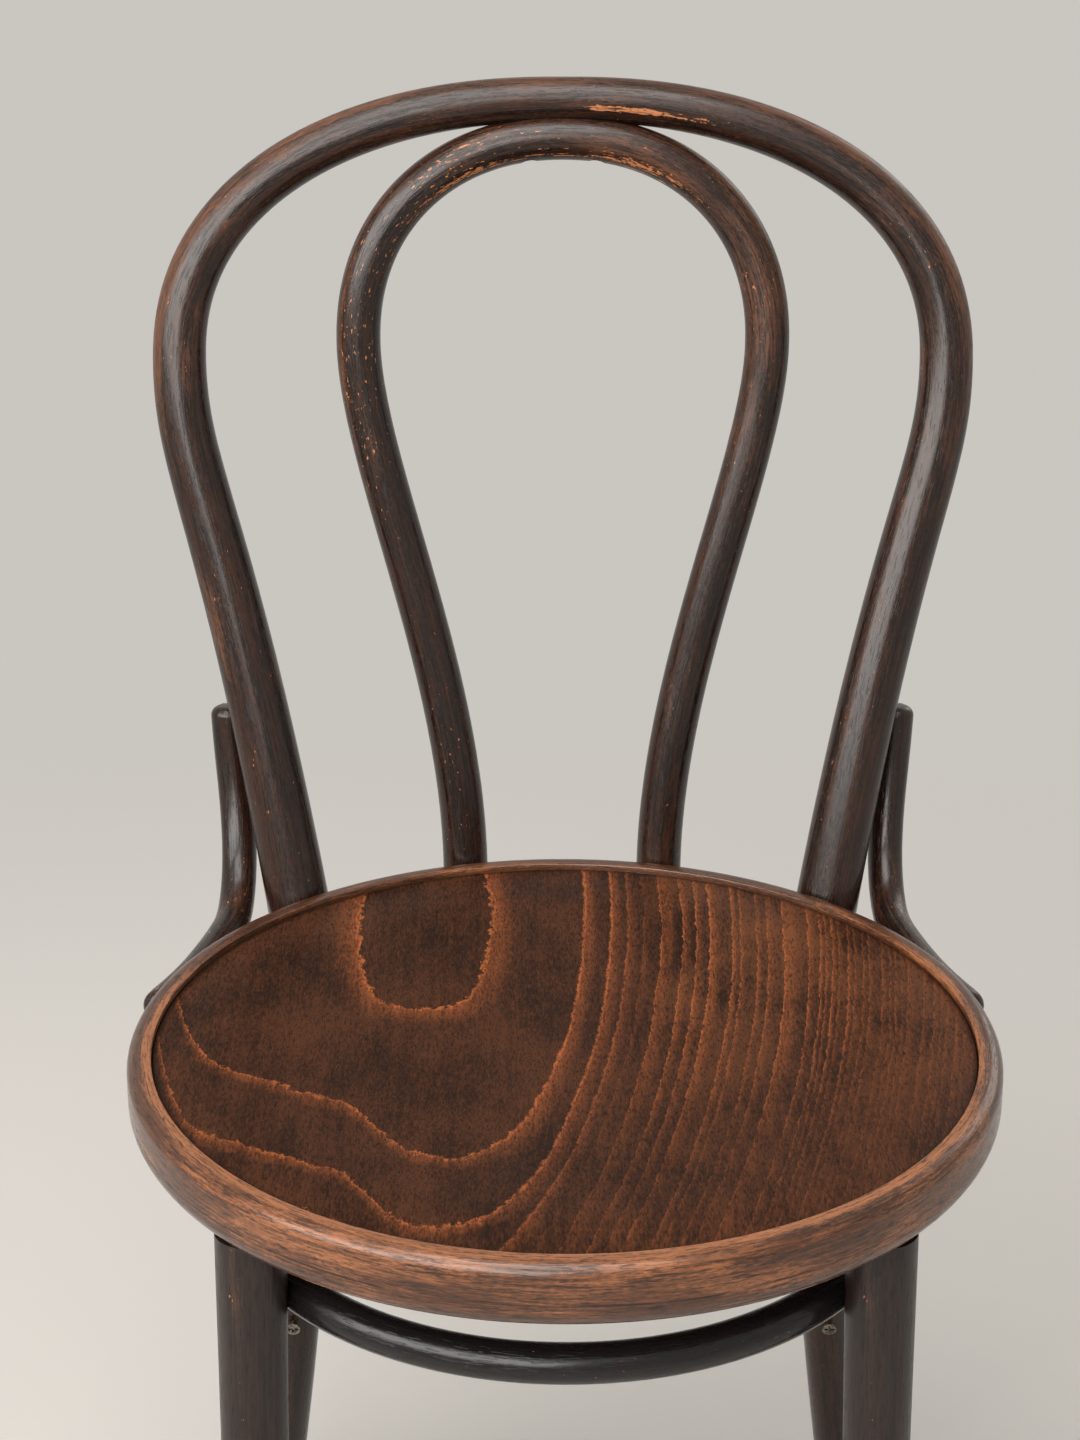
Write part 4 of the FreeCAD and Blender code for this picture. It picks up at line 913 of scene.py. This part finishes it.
def sliced_veneer():
    """Growth rises outwards across the growth rings, in metres. Run gives it where the lines
    go from back to front, and nose where they turn round in an arch at the front, left of
    the middle. Closed is the distance from the one line that closes at the back left. The
    single lines are given by their growth, width and strength."""
    finish = Finish("seat_veneer", "seat_veneer")
    spot = finish.place(SEAT)
    fibres = finish.noise(spot, (1900, 200, 500), 3, 0.65)
    dashes = finish.noise(spot, (850, 210, 600), 3, 0.65)
    streaks = finish.noise(spot, (260, 14, 60), 3, 0.6)
    waves = finish.noise(spot, (21, 13, 12), 2, 0.5)
    teeth = finish.noise(spot, (190, 150, 200), 4, 0.75)
    clouds = finish.noise(spot, (19, 13, 15), 4, 0.6)
    across, back = finish.part(spot, "X"), finish.part(spot, "Y")
    run = across - back * (RUN_SLANT - back * (RUN_BEND + back * RUN_TWIST))
    far_left = (ARCH_LEFT - across).at_least(0.0)
    right_side = (across - ARCH_RIGHT).at_least(0.0)
    arch = ARCH_MIDDLE + across * ARCH_SLOPE + finish.ramp(across, *ARCH_STEP)
    arch = arch - far_left * far_left * ARCH_LEFT_FALL - right_side * ARCH_RIGHT_FALL
    nose = (back + arch) * -NOSE_CLOSENESS - NOSE_SHIFT
    growth = run.joined(nose, NOSE_ROUNDING) + (teeth - 0.5) * 0.0042 + (waves - 0.5) * 0.003
    spread = finish.ramp(run - nose, -0.012, 0.012, 0.32, 1.0)

    from_widest = back - CLOSED_WIDEST
    half_width = CLOSED_HALF_WIDTH - from_widest * from_widest * CLOSED_NARROWING
    closed = abs(across - CLOSED_X) - half_width
    closed = closed.joined(CLOSED_END - back, CLOSED_ROUNDING) + (teeth - 0.5) * 0.0125

    def line(rise, width, strength):
        """A line with a sharp ragged edge that fades outwards."""
        edge = finish.ramp(rise, -0.0006, 0.0004)
        core = finish.ramp(rise, 0.0004, width, 1.0, 0.0)
        glow = finish.ramp(rise, 0.0, width * 4.0, GLOW_STRENGTH, 0.0)
        return edge * core.at_least(glow) * strength

    grown = line(closed, 0.0042, 1.0)
    for rise, width, strength in SINGLE_LINES:
        grown = grown.at_least(line((growth - rise) / spread, width, strength))
    closer = (growth - CLOSER_START).at_least(0.0) * CLOSER_LINES
    one_way = {"noise_dimensions": "1D"}
    places = {"W": growth * UNEVEN_IN_A_METRE, "Scale": 1.0}
    wander = finish.node("ShaderNodeTexNoise", one_way, places)
    count = growth * LINES_IN_A_METRE + closer + (wander - 0.5) * UNEVENNESS
    number = count.whole()
    beat = count - number
    chance = finish.node("ShaderNodeTexWhiteNoise", one_way, {"W": number})
    core = finish.ramp(beat, 0.0, LINE_CORE, 1.0, 0.0)
    glow = finish.ramp(beat, 0.0, LINE_GLOW, GLOW_STRENGTH, 0.0)
    strength = (chance * 0.6 + 0.55) * finish.ramp(growth, LINES_START, LINES_START + 0.004)
    strength = strength * finish.ramp(back, -0.12, 0.07, 0.30, 1.0)
    strength = strength * finish.ramp(growth, 0.12, 0.16, 1.0, 0.6)
    lines = core.at_least(glow) * strength
    broken = finish.ramp(streaks * 0.3 + dashes * 0.4 + teeth * 0.3, 0.38, 0.58)
    grown = grown.at_least(lines) * (broken * 0.75 + 0.25)
    mottle = clouds * 0.38 + dashes * 0.32 + fibres * 0.15 + streaks * 0.15
    tone = finish.ramp(mottle, 0.39, 0.60)
    wood = finish.blend(tone, PANEL_STAIN, PANEL_BROWN)
    # Painted sheen: the back right is made a lighter warm brown, partly the wood's own tone
    # and partly a sheen painted into the colour.
    warm_and_sheen = finish.ramp(growth, 0.01, 0.06) * finish.ramp(back, -0.08, 0.10) * 0.6
    warm_and_sheen = warm_and_sheen * finish.ramp(clouds + dashes * 0.5, 0.60, 0.90)
    wood = finish.blend(warm_and_sheen, wood, PANEL_WARM_SHEEN)
    wood = finish.blend(grown.at_most(1.0) * 0.95, wood, PANEL_LINE)
    pores = finish.ramp(finish.noise(spot, (1300, 300, 500), 2), 0.54, 0.66)
    wood = finish.blend(pores * 0.55, wood, PANEL_DARK)
    # Painted shade: the panel darkens towards its edge, where it lies in the ring's rebate.
    edge = finish.ramp(finish.reach(spot), EDGE_SHADE_START, PANEL_RADIUS)
    wood = finish.blend(edge * 0.75, wood, PANEL_DARK)
    finish.set(
        Base_Color=wood,
        Roughness=0.44 + (clouds - 0.5) * 0.16 + (dashes - 0.5) * 0.22,
        Specular_IOR_Level=0.05,
        Normal=finish.bumps(fibres * 0.4 + dashes * 0.5 - pores * 0.8, 0.00012),
    )
    return finish


shown(panel, "seat_board", ["seat_panel"], sliced_veneer())


# Front legs: turned straight and tapered, splayed a little, with a tenon in the seat ring.
LEG_SPLAY = math.tan(math.radians(1.0))
LEG_TOP_RADIUS = 0.0161
LEG_FOOT_RADIUS = 0.01275
FRONT_LEG_STEPS = 24
leg_top = Vector((LEG_X, SEAT.y - LEG_Y, ring_bottom))
leg_out = Vector((LEG_X, -LEG_Y, 0)).normalized()
leg_line = []
for share in shares(FRONT_LEG_STEPS):
    drop = (leg_top.z - GLIDE_HEIGHT) * share
    leg_line.append(leg_top + leg_out * (drop * LEG_SPLAY) - Vector((0, 0, drop)))


def worn_leg(finish):
    """Little wear, a touch more towards the top."""
    return finish.ramp(finish.part(finish.place(), "Z"), 0.0, 0.43, 0.0, 0.22)


def bare_leg(finish):
    """A few chips near the foot."""
    return finish.ramp(finish.part(finish.place(), "Z"), 0.10, 0.0, 0.1, 0.4)


LEG_WOODS = (colour(28, 21, 19), colour(56, 40, 33), RUBBED)
leg_wood = stained_beech("leg_beech", LEG_WOODS, worn_leg, bare_leg, gloss=0.34, sheen=0.4)
leg_radii = taper(leg_line, LEG_TOP_RADIUS, LEG_FOOT_RADIUS)
for side, line in (("right", leg_line), ("left", mirrored(leg_line))):
    leg = rod_mesh(line, leg_radii, FRONT)
    shown(leg, "leg_front_" + side, ["front_leg_" + side], leg_wood)


# Leg ring: a thin bent ring let into the four legs under the seat, stained almost black.
# Two half rounds, whose centres lie apart, so that it meets all legs.
LEG_RING_RADIUS = 0.152
LEG_RING_THICKNESS = 0.0183
LEG_RING_HEIGHT = 0.388
LEG_RING_FRONT_Y = -0.013
LEG_RING_BACK_Y = 0.050
HALF_STEPS = 72
back_middle = Vector((SEAT.x, SEAT.y + LEG_RING_BACK_Y, LEG_RING_HEIGHT))
front_middle = Vector((SEAT.x, SEAT.y + LEG_RING_FRONT_Y, LEG_RING_HEIGHT))
leg_ring_line = []
for middle, start in ((back_middle, 0), (front_middle, math.pi)):
    for share in shares(HALF_STEPS):
        turn = start + math.pi * share
        spot = Vector((math.cos(turn), math.sin(turn), 0)) * LEG_RING_RADIUS
        leg_ring_line.append(middle + spot)
leg_ring_line.append(leg_ring_line[0].copy())
LEG_RING_WOODS = (colour(20, 18, 20), colour(36, 30, 29), RUBBED)


def worn_leg_ring(finish):
    """Feet have rubbed the lower edge a little."""
    return finish.ramp(finish.part(finish.place(), "Z"), 0.388, 0.380, 0.0, 0.22)


def bare_leg_ring(finish):
    """Chips on the lower edge."""
    return finish.ramp(finish.part(finish.place(), "Z"), 0.384, 0.379, 0.0, 0.5)


leg_ring_wood = stained_beech(
    "leg_ring_beech", LEG_RING_WOODS, worn_leg_ring, bare_leg_ring, sheen=0.38
)
leg_ring_radii = [LEG_RING_THICKNESS / 2] * len(leg_ring_line)
leg_ring_bores = []
back_leg_there = at_height(lower + hoop_half, hoop_radii, LEG_RING_HEIGHT)[0]
front_leg_there = at_height(leg_line, leg_radii, LEG_RING_HEIGHT)[0]
for middle, leg in ((front_middle, front_leg_there), (back_middle, back_leg_there)):
    way = (leg - middle).normalized()
    floor = middle + way * (LEG_RING_RADIUS - LEG_RING_THICKNESS / 2 + HEAD_SINKING)
    leg_ring_bores.append((floor, way, HEAD_BORE))
shown(
    rod_mesh(leg_ring_line, leg_ring_radii, Vector((0, 0, 1))),
    "stretcher_ring",
    ["leg_ring"],
    leg_ring_wood,
    both_sides(leg_ring_bores),
)


# Hip braces: short beech rods, steam-bent. Each is screwed to the hoop from behind, comes
# down beside it and sweeps forward to lie flat against the seat ring, held by two screws.
BRACE_RADIUS = 0.009
BRACE_X = 0.172
BRACE_TOP = 0.549
BRACE_TOP_SLOPE = 0.1
BRACE_TOP_PULL = 0.060
BRACE_HEIGHT = 0.443
BRACE_BEND_Y = 0.150
BRACE_BEND_PULL = 0.045
BRACE_FLARE_Y = 0.170
BRACE_END_Y = 0.068
BRACE_END_RADIUS = 0.2067
BRACE_END_ROUNDING = 0.005
BRACE_TRIM = 0.542
BRACE_TIP_Y = 0.059
BRACE_SPREAD = 0.002
BRACE_WAIST = 0.0047
BRACE_STRAIGHT = 0.83
BRACE_SCREW_HEIGHT = 0.535
BRACE_SCREW_YS = (0.081, 0.102)
BRACE_STEPS = 40
BRACE_END_STEPS = 24
BRACE_TIP_STEPS = 4
SEAT_GAP = 0.0003
RING_GAP = 0.00015

beside, radius_beside = at_height(hoop_half, hoop_radii[len(lower) :], BRACE_TOP)
apart = radius_beside + BRACE_RADIUS + SEAT_GAP
top_y = beside.y + math.sqrt(apart**2 - (BRACE_X - beside.x) ** 2)
brace_top = Vector((BRACE_X, top_y, BRACE_TOP))
brace_bend = Vector((BRACE_X, SEAT.y + BRACE_BEND_Y, BRACE_HEIGHT))
brace_poles = (
    brace_top,
    brace_top + Vector((0, -BRACE_TOP_SLOPE, -1)).normalized() * BRACE_TOP_PULL,
    brace_bend + Vector((0, BRACE_BEND_PULL, 0)),
    brace_bend,
)
brace_line = [bezier(brace_poles, share) for share in shares(BRACE_STEPS)]
brace_end = Vector((BRACE_X, SEAT.y + BRACE_END_Y, BRACE_HEIGHT))
brace_line += [brace_bend.lerp(brace_end, share) for share in shares(BRACE_END_STEPS, 1)]
end_x = math.sqrt(BRACE_END_RADIUS**2 - BRACE_END_Y**2)
for point in brace_line:
    flare = max(SEAT.y + BRACE_FLARE_Y - point.y, 0) / (BRACE_FLARE_Y - BRACE_END_Y)
    point.x += (end_x - BRACE_X) * flare**2
brace_runs = runs(brace_line)
for point, run in zip(brace_line, brace_runs):
    share = min(run / brace_runs[-1] / BRACE_STRAIGHT, 1)
    point.x += BRACE_SPREAD * (1 - share) - BRACE_WAIST * math.sin(math.pi * share) ** 2
brace_line = [point for point in brace_line if point.z <= BRACE_TRIM]
for share in shares(BRACE_TIP_STEPS, 1):
    tip_y = BRACE_END_Y + (BRACE_TIP_Y - BRACE_END_Y) * share
    tip_x = math.sqrt(BRACE_END_RADIUS**2 - tip_y**2)
    brace_line.append(Vector((SEAT.x + tip_x, SEAT.y + tip_y, BRACE_HEIGHT)))


def worn_brace(finish):
    """Rubbed most where it lies along the seat."""
    return finish.ramp(finish.part(finish.place(), "Z"), 0.44, 0.55, 0.35, 0.10)


def bare_brace(finish):
    """Chips on the same stretch."""
    return finish.ramp(finish.part(finish.place(), "Z"), 0.45, 0.50, 0.4, 0.1)


screw_centre = at_height(brace_line, [0.0] * len(brace_line), BRACE_SCREW_HEIGHT)[0]
hoop_there = at_height(hoop_half, hoop_radii[len(lower) :], BRACE_SCREW_HEIGHT)[0]
way = (hoop_there - screw_centre).normalized()
brace_bores = [(screw_centre - way * (BRACE_RADIUS - HEAD_SINKING), way, HEAD_BORE)]
for screw_y in BRACE_SCREW_YS:
    # the point nearest to the screw on the level stretch, which is the lowest
    centre = min(brace_line, key=lambda point: abs(point.y - SEAT.y - screw_y) + point.z)
    way = Vector((SEAT.x - centre.x, SEAT.y - centre.y, 0)).normalized()
    brace_bores.append((centre - way * (BRACE_RADIUS - HEAD_SINKING), way, HEAD_BORE))
brace_wood = stained_beech("brace_beech", FRAME_WOODS, worn_brace, bare_brace, seed=5.1)
brace_radii = [BRACE_RADIUS] * len(brace_line)
for side, sign in (("right", 1), ("left", -1)):
    line = brace_line if sign > 0 else mirrored(brace_line)
    brace = rod_mesh(line, brace_radii, Vector((-sign, 0, 0)), BRACE_END_ROUNDING)
    for vert in brace.verts:
        spot = Vector((vert.co.x - SEAT.x, vert.co.y - SEAT.y))
        short = (ring_radius + RING_GAP) / spot.length
        if short > 1 and vert.co.z < SEAT.z:
            vert.co.x = SEAT.x + spot.x * short
            vert.co.y = SEAT.y + spot.y * short
    bores = [bore for bore in both_sides(brace_bores) if bore[0].x * sign > 0]
    shown(brace, "brace_" + side, ["hip_brace_" + side], brace_wood, bores)


# Fasteners and feet: steel screws, bolts and nails, pads of clear plastic that keep stacked
# chairs from rubbing, and glides of dark plastic. These are the CAD pieces themselves.
STEEL = colour(150, 144, 132)
DULL_STEEL = colour(92, 86, 78)
CLEAR = colour(196, 200, 200)
CLOUDED = colour(224, 226, 224)
GLIDE = colour(40, 36, 34)
GLIDE_WORN = colour(74, 68, 63)


def plated_steel():
    """Plated steel, dulled in patches and lightly scratched."""
    finish = Finish("screw_steel")
    place = finish.place()
    patches = finish.noise(place, (420, 420, 420), 3, 0.6)
    scratches = finish.noise(place, (2600, 2600, 300), 2, 0.6)
    finish.set(
        Base_Color=finish.blend(finish.ramp(patches, 0.42, 0.60), STEEL, DULL_STEEL),
        Metallic=1.0,
        Roughness=0.32 + (patches - 0.5) * 0.3 + (scratches - 0.5) * 0.2,
        Normal=finish.bumps(scratches, 0.00003),
    )
    return finish


def clear_plastic():
    """Clear soft plastic with a faint cloud of scratches."""
    finish = Finish("pad_plastic")
    place = finish.place()
    haze = finish.noise(place, (240, 240, 90), 3, 0.6)
    finish.set(
        Base_Color=finish.blend(haze, CLEAR, CLOUDED),
        Roughness=0.16 + (haze - 0.5) * 0.3,
        IOR=1.45,
        Transmission_Weight=0.85,
        Normal=finish.bumps(haze, 0.00005),
    )
    return finish


def moulded_plastic():
    """Dark nylon, scuffed grey where it slides on the floor."""
    finish = Finish("glide_plastic")
    place = finish.place()
    scuffs = finish.noise(place, (700, 700, 700), 3, 0.65)
    low = finish.ramp(finish.part(place, "Z"), 0.0025, 0.0)
    worn = finish.ramp(scuffs + low * 0.35, 0.50, 0.75)
    finish.set(
        Base_Color=finish.blend(worn, GLIDE, GLIDE_WORN),
        Roughness=0.42 + (scuffs - 0.5) * 0.3,
        Normal=finish.bumps(scuffs, 0.00005),
    )
    return finish


steel_ends = ("screws", "bolts", "washers", "nuts", "nails")
nodes = frame["nodes"]
for names, finish in (
    ([name for name in nodes if name.endswith(steel_ends)], plated_steel()),
    (("leg_pad_left", "leg_pad_right"), clear_plastic()),
    ([name for name in nodes if name.startswith("foot_glide")], moulded_plastic()),
):
    for name in names:
        for slot in nodes[name].material_slots:
            slot.material = finish.material
